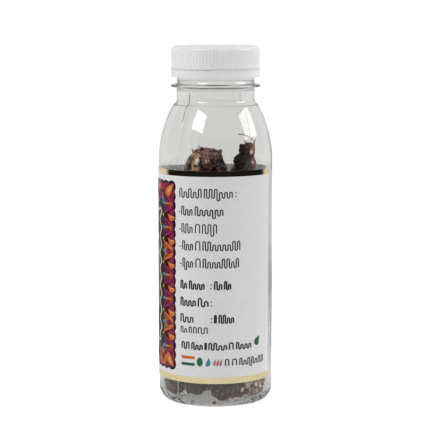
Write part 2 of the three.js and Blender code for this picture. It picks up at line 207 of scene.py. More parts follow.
def thread_height(thread, z, angles):
    """Height of the helical ridges over a wall at one level."""
    total = np.zeros(len(angles))
    for k in range(THREAD_STARTS):
        along = (angles - thread["start"] - k * 360.0 / THREAD_STARTS) % 360.0
        across = np.abs(z - thread["low"] - THREAD_LEAD * along / 360.0)
        ridge = (THREAD_ROOT / 2 - across) / ((THREAD_ROOT - THREAD_CREST) / 2)
        ends = np.minimum(along, thread["span"] - along) / RUN_OUT
        total = np.maximum(total, np.clip(ridge, 0, 1) * np.clip(ends, 0, 1))
    return thread["height"] * total


# ---- Materials ----------------------------------------------------------------------------------


NOISE_ROUGHNESS = 0.55
MIX_SOCKETS = {"FLOAT": (2, 3, 0), "RGBA": (6, 7, 2)}  # a mix node's two inputs and its output


def feed(tree, socket, value):
    """Gives an input a value or another node's output. A colour needs no alpha."""
    if isinstance(value, bpy.types.NodeSocket):
        tree.links.new(value, socket)
    else:
        socket.default_value = (*value[:3], 1.0) if socket.type == "RGBA" else value


def principled(name, **values):
    """A new node material; values are the shader's own sockets, with underscores for spaces."""
    material = bpy.data.materials.new(name)
    material.use_nodes = True
    tree = material.node_tree
    shader = tree.nodes["Principled BSDF"]
    for socket, value in values.items():
        feed(tree, shader.inputs[socket.replace("_", " ")], value)
    return material, tree, shader


def add_node(tree, kind, *inputs, **values):
    """A new node: inputs go to its sockets in order, values to its settings and its named sockets."""
    node = tree.nodes.new(kind)
    for name, value in values.items():
        if hasattr(node, name):
            setattr(node, name, value)
        else:
            feed(tree, node.inputs[name.replace("_", " ")], value)
    for socket, value in zip(node.inputs, inputs):
        feed(tree, socket, value)
    return node


def noise_texture(tree, scale, detail=4.0, stretch=None):
    """Noise in the object's own metres; scale is in lumps per metre."""
    where = tree.nodes.new("ShaderNodeTexCoord").outputs["Object"]
    if stretch is not None:
        where = add_node(tree, "ShaderNodeMapping", where, Scale=stretch).outputs["Vector"]
    sizes = {"Scale": scale, "Detail": detail, "Roughness": NOISE_ROUGHNESS}
    return add_node(tree, "ShaderNodeTexNoise", where, **sizes)


def ramp(tree, source, stops):
    """A colour ramp on a 0 to 1 value; stops are (place, colour)."""
    node = add_node(tree, "ShaderNodeValToRGB", source)
    elements = node.color_ramp.elements
    while len(elements) < len(stops):
        elements.new(0.5)
    for element, (place, colour) in zip(elements, stops):
        element.position = place
        element.color = (*colour, 1.0)
    return node.outputs["Color"]


def grey_stops(low, high):
    return [(low[0], (low[1],) * 3), (high[0], (high[1],) * 3)]


def bump(tree, shader, height, strength, distance):
    node = add_node(tree, "ShaderNodeBump", Strength=strength, Distance=distance, Height=height)
    feed(tree, shader.inputs["Normal"], node.outputs["Normal"])


def mix(tree, kind, factor, first, second):
    """Blends two numbers or two colours (sockets or values) by a 0 to 1 socket."""
    node = add_node(tree, "ShaderNodeMix", factor, data_type=kind)
    low, high, out = MIX_SOCKETS[kind]
    feed(tree, node.inputs[low], first)
    feed(tree, node.inputs[high], second)
    return node.outputs[out]


def show_surface(tree, shader_output):
    feed(tree, tree.nodes["Material Output"].inputs["Surface"], shader_output)


def tinted(name, grain, low, high, relief, relief_grain=None, **values):
    """A material that wanders between two close tints. grain is the scale, detail and stretch of its
    noise. relief is a bump's strength and distance, and follows that noise or one of its own."""
    material, tree, shader = principled(name, **values)
    height = noise_texture(tree, *grain).outputs["Fac"]
    feed(tree, shader.inputs["Base Color"], ramp(tree, height, [(0.3, low), (0.7, high)]))
    if relief_grain is not None:
        height = noise_texture(tree, *relief_grain).outputs["Fac"]
    bump(tree, shader, height, *relief)
    return material


def clear_pet():
    """Blown PET: clear, faintly grey and wavy. Lamps shine through it."""
    material, tree, shader = principled(
        "clear_pet",
        Base_Color=(0.985, 0.981, 0.966),
        Roughness=0.02,
        IOR=1.56,
        Transmission_Weight=1.0,
    )
    bump(tree, shader, noise_texture(tree, 60.0, 2.0).outputs["Fac"], 0.1, 0.0008)
    through = add_node(tree, "ShaderNodeBsdfTransparent", Color=(0.93, 0.93, 0.93))
    shadow = tree.nodes.new("ShaderNodeLightPath").outputs["Is Shadow Ray"]
    choice = add_node(tree, "ShaderNodeMixShader", shadow, shader.outputs[0], through.outputs[0])
    show_surface(tree, choice.outputs[0])
    return material


def white_plastic():
    """Moulded white polypropylene with a soft sheen and faint flow marks."""
    return tinted(
        "white_cap",
        (90.0, 4.0, (1.0, 1.0, 3.0)),
        (0.885, 0.885, 0.88),
        (0.915, 0.915, 0.91),
        (0.12, 0.00006),
        (2600.0, 2.0),
        Roughness=0.27,
        IOR=1.49,
        Coat_Weight=0.12,
        Subsurface_Weight=0.6,
        Subsurface_Radius=(1.0, 0.97, 0.93),
        Subsurface_Scale=0.0018,
    )


def liner_foam():
    """The closed-cell foam of the sealing disc."""
    pale, white = (0.82, 0.81, 0.77), (0.9, 0.89, 0.86)
    return tinted("liner_foam", (1800.0, 2.0), pale, white, (0.4, 0.0001), Roughness=0.7)


def coated_paper(name, low, high, roughness=0.34, specular=0.5):
    """Smooth coated paper or a flat ink on it, between two close tints."""
    look = {"IOR": 1.5, "Roughness": roughness, "Specular_IOR_Level": specular}
    return tinted(name, (420.0, 5.0), low, high, (0.08, 0.00005), (1500.0, 3.0), **look)


def ink(name, colour):
    """A printed ink, with the slight unevenness of a press."""
    return coated_paper(f"ink_{name}", tuple(0.86 * c for c in colour), colour, 0.38, 0.25)


def gold_foil():
    """Hot-stamped foil: a bright gold mirror with a slight ripple."""
    grain, look = (240.0, 3.0, (1.0, 1.0, 2.0)), {"Metallic": 1.0, "Roughness": 0.07}
    return tinted("gold_foil", grain, (0.96, 0.79, 0.45), (1.0, 0.87, 0.56), (0.1, 0.0002), **look)


def dry_fibre(name, low, high):
    """Dry plant fibre, or a flake of shell."""
    grain = (900.0, 4.0, (1.0, 1.0, 0.35))
    return tinted(name, grain, low, high, (0.4, 0.0001), Roughness=0.65)


# The pulp's colours: near-black and ruddy in random patches, where skin clings to it, its clinging bits, a
# russet, and the near-black of painted shade in its creases and wrinkles.
PULP_DARK, PULP_RUDDY = (0.014, 0.007, 0.006), (0.07, 0.024, 0.017)
PULP_SKIN, PULP_FIBRE = (0.36, 0.17, 0.08), (0.33, 0.16, 0.08)
PULP_RUSSET, PULP_CREASE_SHADE = (0.27, 0.1, 0.065), (0.006, 0.003, 0.003)
STRAW = [(0.4, (0.13, 0.055, 0.024)), (0.62, (0.5, 0.27, 0.13))]
# Pale husk on the lowest pod: partly real husk, partly a painted reflection of the glass.
HUSK_AND_REFLECTION = [(0.36, (0.12, 0.06, 0.045)), (0.58, (0.58, 0.46, 0.37))]


def tamarind_flesh(name, seed, dryness, depth=1.0, dust_and_sheen=0.12, gloss=0.5, warmth=1.0):
    """Sticky dried pulp: near-black to red-brown in random patches, tan where skin and fibre cling to it,
    and near-black painted shade in its creases and wrinkles. The more dryness, the more tan; the less
    depth, the blacker the pulp. The keyword after depth sets the grey of fine random patches, partly dust
    and partly a painted sheen."""
    material, tree, shader = principled(
        name, Coat_Weight=0.3 * gloss, Coat_Roughness=0.2, IOR=1.45, Specular_IOR_Level=gloss
    )

    def patches(scale, low, high, detail=4.0, stretch=None):
        texture = noise_texture(tree, scale, detail, stretch)
        texture.noise_dimensions = "4D"
        texture.inputs["W"].default_value = seed
        height = texture.outputs["Fac"]
        return height, ramp(tree, height, grey_stops((low, 0.0), (high, 1.0)))

    _, ruddy = patches(150.0, 0.42, 0.62)
    _, tan = patches(210.0, 0.68 - dryness, 0.74 - dryness, 6.0, (1.0, 1.0, 0.4))
    # Fine random patches; where they are highest the pulp takes a grey that is partly dust and partly a
    # painted sheen.
    fine, dust_and_sheen_share = patches(620.0, 0.52, 0.72, 6.0, (1.0, 1.0, 0.6))
    dark, lit = (tuple(c * depth for c in tint) for tint in (PULP_DARK, PULP_RUDDY))
    dust_and_sheen_grey = (1.2 * dust_and_sheen * warmth, 0.85 * dust_and_sheen, 0.78 * dust_and_sheen / warmth)
    colour = mix(tree, "RGBA", ruddy, dark, lit)
    colour = mix(tree, "RGBA", dust_and_sheen_share, colour, dust_and_sheen_grey)
    colour = mix(tree, "RGBA", tan, colour, PULP_SKIN)
    for attribute, tint in (
        ("fibre", PULP_FIBRE),
        ("straw", ramp(tree, fine, STRAW)),
        ("husk_and_reflection", ramp(tree, fine, HUSK_AND_REFLECTION)),
        ("russet", PULP_RUSSET),
        # the last is painted shade: near-black in the creases and wrinkles
        ("painted_crease_shade", PULP_CREASE_SHADE),
    ):
        share = add_node(tree, "ShaderNodeAttribute", attribute_name=attribute)
        colour = mix(tree, "RGBA", share.outputs["Fac"], colour, tint)
    feed(tree, shader.inputs["Base Color"], colour)
    feed(tree, shader.inputs["Roughness"], ramp(tree, fine, grey_stops((0.3, 0.28), (0.7, 0.6))))
    bump(tree, shader, fine, 0.6, 0.0006)
    return material


# ---- Bottle -------------------------------------------------------------------------------------


def base_dome():
    """The push-up of the base, from the axis out to the ring."""
    return [(r, PUSH_UP * (1 - (r / RING_INNER) ** 2)) for r in np.linspace(0, RING_INNER - 0.6, 14)]


def shoulder_outside():
    """The outside of the section from the straight body up to the foot of the neck."""
    shoulder = arc(SHOULDER_CENTRE, SHOULDER_RADIUS, 0, SHOULDER_END, 30)
    return shoulder + eased((NECK_RADIUS, NECK_FOOT + 0.6), shoulder[-1])[-2::-1]


def bottle_outside():
    """The outside of the bottle's section, from the middle of the base up to the rim."""
    lower = [
        *base_dome(),
        (RING_INNER, 0.05),
        (RING_INNER + 0.8, 0.0),
        *arc((RING_OUTER, HEEL), HEEL, -90, 0, 18),
        *shoulder_outside(),
        (NECK_RADIUS, RING_LOW + 0.2),
        (NECK_RADIUS + 0.25, RING_LOW + 0.5),
        (RING_RADIUS - 0.5, RING_TIP - 0.5),
        (RING_RADIUS - 0.1, RING_TIP - 0.3),
        (RING_RADIUS, RING_TIP),
        (RING_RADIUS - 0.1, RING_TIP + 0.3),
        (RING_RADIUS - 0.5, RING_TIP + 0.5),
        (NECK_UPPER_RADIUS + 0.25, RING_HIGH - 0.1),
        (NECK_UPPER_RADIUS, RING_HIGH + 0.2),
        (NECK_UPPER_RADIUS, BEAD_LOW),
        (BEAD_RADIUS, BEAD_LOW + 0.5),
        (BEAD_RADIUS, BEAD_LOW + 0.9),
        (FINISH_RADIUS, BEAD_HIGH),
    ]
    finish = [
        (FINISH_RADIUS, BEAD_HIGH),
        (FINISH_RADIUS, NECK_RIM - 0.6),
        (FINISH_RADIUS - 0.2, NECK_RIM - 0.2),
        (FINISH_RADIUS - 0.6, NECK_RIM),
    ]
    return dense(lower, SECTION_STEP) + dense(finish, FINISH_STEP)[1:]


def bottle_inside():
    """The inside of the section, from the rim back down to the base."""
    thin = NECK_RADIUS - NECK_WALL
    outside = np.array(shoulder_outside())
    walls = np.linspace(BODY_WALL, NECK_WALL, len(outside))[:, None]
    up = np.gradient(outside, axis=0)
    inward = np.column_stack([-up[:, 1], up[:, 0]]) / np.hypot(up[:, 0], up[:, 1])[:, None]
    widening = [
        (BORE + (thin - BORE) * t * t * (3 - 2 * t), BEAD_HIGH + 2.5 - 4.5 * t)
        for t in np.linspace(0, 1, 13)
    ]
    down = [
        (BORE + 0.3, NECK_RIM),
        (BORE, NECK_RIM - 0.3),
        *widening,
        *[tuple(p) for p in (outside + inward * walls)[::-1]],
        *arc((RING_OUTER, HEEL + BASE_WALL - BODY_WALL), HEEL - BODY_WALL, 0, -90, 14),
        *[(r, z + BASE_WALL) for r, z in reversed(base_dome())],
    ]
    return dense(down, SECTION_STEP)


def seam_height(z, angles):
    """The parting lines' fine ridge, from the heel to the support ring."""
    total = np.zeros(len(angles))
    if HEEL / 2 < z < RING_LOW - 0.3:
        for seam in SEAMS:
            away = np.radians(turned_from(angles, seam)) * BODY_RADIUS
            growth = float(np.clip((z - SEAM_GROWS[0]) / (SEAM_GROWS[1] - SEAM_GROWS[0]), 0, 1))
            height = SEAM_HEIGHT if seam == SEAMS[0] else SEAM_BELOW
            total += (SEAM_BELOW + (height - SEAM_BELOW) * growth) * np.exp(-((away / SEAM_WIDTH) ** 2))
    return total


def wall_swell(z, angles):
    """The blown wall's changes in thickness, on its inside: slow ones, and short ones in the heel."""
    turn = np.radians(angles)
    if HEEL < z < NECK_FOOT:
        return WALL_SWELL * np.sin(3 * turn + 0.05 * z) * np.sin(0.11 * z + 1.0)
    if BASE_WALL < z <= HEEL:
        ripple = np.sin(31 * turn + 1.3 * z) + np.sin(47 * turn - 2.1 * z + 1.0)
        return BASE_RIPPLE * ripple * math.sin(math.pi * z / HEEL)
    return 0.0


def make_bottle(material):
    outside, inside = bottle_outside(), bottle_inside()

    def skin(row, r, z, angles):
        if row >= len(outside):
            return wall_swell(z, angles)
        if z > BEAD_HIGH:
            return thread_height(NECK_THREAD, z, angles)
        return seam_height(z, angles)

    plain = [a for a in even_angles(BOTTLE_TURNS) if all(abs(turned_from(a, s)) > 2.0 for s in SEAMS)]
    angles = sorted([*plain, *(seam + step for seam in SEAMS for step in SEAM_TURNS)])
    bottle = revolve("bottle_clear", outside + inside, angles, material, skin)
    keep_sharp(bottle, SHARP_BOTTLE)
    return bottle


# ---- Closure ------------------------------------------------------------------------------------


def make_cap(material):
    """The cap with its fine grip ribs outside and its thread inside."""
    ceiling = CAP_TOP - CAP_PLATE
    inside = [
        (0.0, ceiling),
        (CAP_BORE - 0.5, ceiling),
        (CAP_BORE, ceiling - 0.5),
        *dense([(CAP_BORE, ceiling - 1.0), (CAP_BORE, CAP_FOOT + 0.4)], CAP_THREAD_STEP),
    ]
    outside = dense(
        [
            (CAP_BORE + 0.35, CAP_FOOT),
            (CAP_RADIUS - FINE_EDGE, CAP_FOOT),
            (CAP_RADIUS, CAP_FOOT + FINE_EDGE),
            (CAP_RADIUS, RIB_LOW - 0.2),
            (CAP_RADIUS, RIB_HIGH - 0.25),
            *arc((CAP_RADIUS - CAP_EDGE, CAP_TOP - CAP_EDGE), CAP_EDGE, 5, 90, 10),
            (GATE_RADIUS + 0.5, CAP_TOP),
            (GATE_RADIUS, CAP_TOP - 0.12),
            (0.0, CAP_TOP - 0.12),
        ],
        CAP_STEP,
    )

    def skin(row, r, z, angles):
        if row < len(inside):
            return thread_height(CAP_THREAD, z, angles) if r > CAP_BORE - 0.1 else 0.0
        if r < CAP_RADIUS - CAP_EDGE:
            return 0.0
        fade = min((z - RIB_LOW) / 0.5, (RIB_HIGH - z) / 0.9)
        grip = 0.5 - 0.5 * np.cos(np.radians(angles) * RIBS)
        return -RIB_DEPTH * min(1.0, max(0.0, fade)) * grip

    cap = revolve("cap_white", inside + outside, even_angles(RIBS * RIB_TURNS), material, skin)
    keep_sharp(cap, SHARP_CAP)
    return cap


def make_band(material):
    """The tamper band left on the neck. Its top edge is cut away where the slit stands open."""
    ring = [
        (BAND_BORE, BAND_LIP_TOP + 0.6),
        (BAND_LIP, BAND_LIP_TOP),
        (BAND_LIP, BAND_LIP_TOP - 0.35),
        (BAND_LIP + 0.5, BAND_LOW),
        (CAP_RADIUS - 0.2, BAND_LOW),
        (CAP_RADIUS, BAND_LOW + 0.2),
        (CAP_RADIUS, BAND_HIGH - FINE_EDGE),
        (CAP_RADIUS - FINE_EDGE, BAND_HIGH),
        (BAND_BORE + 0.1, BAND_HIGH),
        (BAND_BORE, BAND_HIGH - 0.1),
    ]
    half = math.degrees(NOTCH_WIDTH / 2 / CAP_RADIUS)
    ends = [notch + turn * half for notch in NOTCHES for turn in (-1.2, -1.0, 1.0, 1.2)]
    angles = sorted([*even_angles(BAND_TURNS), *ends])
    band = revolve("tamper_band_white", dense(ring, 1.0), angles, material)
    for vertex in band.data.vertices:
        angle = math.degrees(math.atan2(vertex.co.x, -vertex.co.y))
        if vertex.co.z > (BAND_HIGH - 0.15) * MM and any(
            abs(turned_from(angle, notch)) < 1.1 * half for notch in NOTCHES
        ):
            vertex.co.z -= NOTCH_DEPTH * MM
    keep_sharp(band, SHARP_CAP)
    return band


def make_bridges(material):
    """The little ties across the slit between the band and the cap."""
    vertices, faces = [], []
    outer = CAP_RADIUS - 0.25
    inner = outer - BRIDGE_THICKNESS
    half = math.degrees(BRIDGE_WIDTH / 2 / outer)
    for k in range(BRIDGES):
        middle = 360.0 * k / BRIDGES
        first = len(vertices)
        for z, shrink in ((BAND_HIGH - 0.3, 1.0), (CAP_FOOT - 0.1, 0.6)):
            for side, r in ((-1, outer), (1, outer), (1, inner), (-1, inner)):
                vertices.append(polar(r, math.radians(middle + side * half * shrink), z))
        low, high = range(first, first + 4), range(first + 4, first + 8)
        faces += [tuple(reversed(low)), tuple(high)]
        faces += [(low[i], low[(i + 1) % 4], high[(i + 1) % 4], high[i]) for i in range(4)]
    return new_object("bridges_white", vertices, faces, material, smooth=False)


# ---- Label and its print ------------------------------------------------------------------------


def on_label(s, z, r):
    """A place on the label, at distance r from the axis. The wrap is laid on a little out of true."""
    turn = s / LABEL_OUTER
    x, y, _ = polar(r, turn, z)
    share = (z - LABEL_LOW) / (LABEL_HIGH - LABEL_LOW)
    dip = LABEL_DIP * max(0.0, -math.cos(turn)) * share
    rise = LABEL_RISE * math.sin(turn) ** 2 * (1 - share)
    return (x, y, z + LABEL_TILT * x - dip + rise)


def around(angle):
    """The distance round the label of an angle."""
    return math.radians(angle) * LABEL_OUTER


def label_band(name, low, high, inner, outer, *materials):
    """A closed strip all along the wrap. A second material is for the side that faces the bottle."""
    vertices, faces = [], []
    sweep = np.linspace(around(LABEL_FROM), around(LABEL_TO), WRAP_ROWS)
    for s in sweep:
        corners = ((inner, low), (outer, low), (outer, high), (inner, high))
        vertices += [on_label(s, z, r) for r, z in corners]
    for i in range(len(sweep) - 1):
        here, there = 4 * i, 4 * i + 4
        for k in range(4):
            faces.append((here + k, there + k, there + (k + 1) % 4, here + (k + 1) % 4))
    faces += [(0, 1, 2, 3), tuple(range(len(vertices) - 1, len(vertices) - 5, -1))]
    band = new_object(name, vertices, faces, *materials)
    if len(materials) > 1:
        for polygon in list(band.data.polygons)[3 : 4 * (len(sweep) - 1) : 4]:
            polygon.material_index = 1
    keep_sharp(band, SHARP_LABEL)
    return band


def area_of(outline):
    """Twice the signed area of a closed outline."""
    s, z = np.asarray(outline, float).T
    return float(np.sum(s * np.roll(z, -1) - np.roll(s, -1) * z))


def printed(name, outlines, level, material):
    """A layer of ink: flat closed outlines of (s, z), cut into narrow strips and wrapped round the
    label as a thin closed plate."""
    bm = bmesh.new()
    for outline in outlines:
        if area_of(outline) < 0:
            outline = outline[::-1]
        bm.faces.new([bm.verts.new((s, z, 0.0)) for s, z in outline])
    bmesh.ops.remove_doubles(bm, verts=bm.verts[:], dist=1e-4)
    bmesh.ops.triangulate(bm, faces=bm.faces[:])
    reach = [v.co.x / CUT_STEP for v in bm.verts]
    for k in range(math.ceil(min(reach)), math.floor(max(reach)) + 1):
        everything = [*bm.verts, *bm.edges, *bm.faces]
        cut = {"plane_co": (k * CUT_STEP, 0, 0), "plane_no": (1, 0, 0), "dist": 1e-5}
        bmesh.ops.bisect_plane(bm, geom=everything, **cut)
    bm.verts.index_update()
    top = LABEL_OUTER + level * INK_STEP
    count = len(bm.verts)
    levels = (top, top - INK_STEP - INK_ROOT)
    vertices = [on_label(v.co.x, v.co.y, r) for r in levels for v in bm.verts]
    faces = []
    for face in bm.faces:
        corners = [v.index for v in face.verts]
        faces += [corners, [c + count for c in reversed(corners)]]
    for edge in bm.edges:
        if len(edge.link_loops) == 1:
            loop = edge.link_loops[0]
            a, b = loop.vert.index, loop.link_loop_next.vert.index
            faces.append([a + count, b + count, b, a])
    bm.free()
    layer = new_object(name, vertices, faces, material)
    keep_sharp(layer, SHARP_LABEL)
    return layer


def ribbon(points, width):
    """A stroke along points, as four-sided patches. The width may differ from point to point."""
    points = np.asarray(points, float)
    along = np.gradient(points, axis=0)
    along /= np.linalg.norm(along, axis=1, keepdims=True)
    half = np.broadcast_to(np.asarray(width, float) / 2, len(points))[:, None]
    side = np.column_stack([-along[:, 1], along[:, 0]]) * half
    left, right = points + side, points - side
    return [[right[i], right[i + 1], left[i + 1], left[i]] for i in range(len(points) - 1)]


def bar(s0, z0, s1, z1):
    return [(s0, z0), (s1, z0), (s1, z1), (s0, z1)]


def ellipse(s, z, half_width, half_height, count=40):
    turns = np.linspace(0, 2 * math.pi, count, endpoint=False)
    return [(s + half_width * math.cos(t), z + half_height * math.sin(t)) for t in turns]


def leaf(s, z, length, width, angle, bend=0.0, grow=0.0, taper=0.62):
    """A rounded base drawn out to a point, on a spine that bends to one side."""
    length, width = length + 2 * grow, width + 2 * grow
    t = np.linspace(0, 1, 17)
    half = width / 2 * np.sin(math.pi * t**taper)
    spine = np.column_stack([(t - 0.5) * length, bend * length * np.sin(math.pi * t)])
    left = spine + np.column_stack([np.zeros(17), half])
    right = spine - np.column_stack([np.zeros(17), half])
    outline = np.vstack([right, left[-2:0:-1]])
    turn = math.radians(angle)
    spin = np.array([[math.cos(turn), math.sin(turn)], [-math.sin(turn), math.cos(turn)]])
    return [tuple(p) for p in outline @ spin + (s, z)]


def scribble(rng, start, base, width, height, stroke):
    """A word's worth of even loops, which takes the place of writing without being any."""
    stems = 2 * max(1, round(width / LOOP_PITCH / 2))
    pitch = (width - stroke) / (stems - 1)
    turn = pitch / 2
    over, under = np.radians(np.linspace(180, 0, 6)), np.radians(np.linspace(180, 360, 6))
    path, x = [], start + stroke / 2
    for i in range(0, stems, 2):
        tall = i == 0 or rng.random() < TALL_SHARE
        top = base + height * (1.0 if tall else SMALL_HEIGHT)
        foot = base - height * (DESCENT if rng.random() < LOW_SHARE else 0.0)
        if i == 0:
            path.append((x, base))
        path += [(x + turn + turn * math.cos(a), top - turn + turn * math.sin(a)) for a in over]
        x += pitch
        if i + 2 < stems:
            path += [(x + turn + turn * math.cos(a), foot + turn + turn * math.sin(a)) for a in under]
            x += pitch
    path.append((x, base))
    return ribbon(path, stroke)


LOOP_PITCH = 1.05
SMALL_HEIGHT = 0.64  # of a small loop, as a share of a tall one
TALL_SHARE, LOW_SHARE, DESCENT = 0.28, 0.1, 0.3

# Lines on the side panel: base, height, stroke, (start, width) of each word, and where two dots go.
LINES = [
    (98.0, 4.1, 0.58, [(-17.9, 11.5), (-5.5, 13.5)], 9.2),
    (89.9, 4.1, 0.60, [(-16.8, 6.0), (-9.8, 13.4)], None),
    (81.8, 4.1, 0.54, [(-16.7, 5.9), (-9.7, 2.6), (-6.3, 7.0)], None),
    (73.9, 4.1, 0.58, [(-16.3, 5.7), (-9.6, 2.6), (-6.1, 17.8)], None),
    (65.9, 4.1, 0.58, [(-16.2, 5.6), (-9.5, 2.6), (-6.0, 17.0)], None),
    (55.9, 3.7, 0.74, [(-17.4, 3.7), (-12.8, 7.8), (-0.8, 4.0), (3.8, 3.5)], -2.4),
    (48.0, 3.7, 0.74, [(-17.4, 8.2), (-8.4, 5.2)], -2.2),
    (40.3, 3.7, 0.68, [(-17.4, 7.0), (-0.8, 1.4), (1.3, 7.4)], -2.2),
    (35.4, 2.8, 0.54, [(-17.3, 3.6), (-12.9, 1.6), (-10.7, 1.9), (-8.3, 4.7)], None),
    (27.9, 3.1, 0.70, [(-16.8, 4.4), (-11.6, 5.7), (-5.2, 1.2), (-3.4, 8.8), (6.1, 2.4), (9.5, 8.3)], None),
    (20.4, 3.0, 0.60, [(4.3, 2.1), (7.6, 2.6), (11.2, 14.6)], None),
]
DASHED = (1, 2, 3, 4)  # lines that start with a dash


def side_panel(inks):
    """The white panel: lines of loops in dark grey, and a row of plain marks."""
    rng = random.Random(23)
    dark = []
    for base, height, stroke, words, dots in LINES:
        for start, width in words:
            dark += scribble(rng, start, base, width, height, stroke)
        if dots is not None:
            for level in (0.05, 0.5):
                z = base + level * height
                dark.append(bar(dots, z, dots + 0.55, z + 0.6))
    for i in DASHED:
        base, height, _, words, _ = LINES[i]
        dash = words[0][0] - 1.4
        dark.append(bar(dash, base + 0.3 * height, dash + 0.9, base + 0.42 * height))
    layers = {
        "text": dark,
        "orange": [bar(-16.8, 23.2, -9.9, 24.6)],
        "green": [
            bar(-16.8, 20.1, -9.9, 21.5),
            ellipse(-7.4, 22.1, 1.45, 2.1),
            leaf(21.7, 30.8, 5.0, 3.2, 62, 0.08),
        ],
        "teal": [leaf(-3.7, 22.2, 4.4, 2.1, 78, -0.1)],
        "pale_red": [leaf(-0.2 + 1.45 * k, 22.0, 3.6, 1.2, 75, 0.08) for k in range(3)],
    }
    return [printed(f"side_print_{name}", shapes, 1, inks[name]) for name, shapes in layers.items()]


# The ornament panel is a dark field in a border of palmettes, with a medallion of pods in the middle.
PANEL_FROM, PANEL_TO = -82.0, -20.9
PANEL_LOW, PANEL_HIGH = 17.6, 104.6
PANEL_MIDDLE = (PANEL_FROM + PANEL_TO) / 2, (PANEL_LOW + PANEL_HIGH) / 2
PALMETTE_PITCH = 11.0
BORDER = 10.6
VINE_INSET, VINE_PITCH, VINE_SWING = 12.6, 8.0, 1.2
OUTLINE = 0.5
GROUND_INSET, GROUND_WIDTH = 0.5, 3.2  # the tinted ground that the palmettes stand on


def panel_sides(inset, corner=0.0):
    """Start, length, and the directions along and inward of the panel's four sides."""
    low, high = PANEL_LOW + inset, PANEL_HIGH - inset
    left, right = PANEL_FROM + inset, PANEL_TO - inset
    corners = np.array([(right, low), (right, high), (left, high), (left, low)])
    for start, end in zip(corners, np.roll(corners, -1, axis=0)):
        length = float(np.hypot(*(end - start)))
        along = (end - start) / length
        yield start + along * corner, length - 2 * corner, along, np.array([-along[1], along[0]])


def panel_edge(inset, waves, pitch):
    """The outline of the panel, with a scalloped edge."""
    outline = []
    for start, length, along, inward in panel_sides(inset):
        lobes = round(length / pitch)
        for t in np.arange(0, 1, 1 / (8 * lobes)):
            swell = waves * abs(math.sin(math.pi * t * lobes))
            outline.append(tuple(start + along * length * t - inward * swell))
    return outline


def vine():
    """A waving line that runs round the field."""
    path, width = [], []
    for start, length, along, inward in panel_sides(VINE_INSET):
        waves = round(length / VINE_PITCH)
        for t in np.arange(0, 1, 1 / (12 * waves)):
            swing = math.sin(2 * math.pi * waves * t)
            path.append(tuple(start + along * length * t + inward * VINE_SWING * swing))
            width.append(0.75 + 0.45 * abs(swing))
    return ribbon(path + path[:1], width + width[:1])


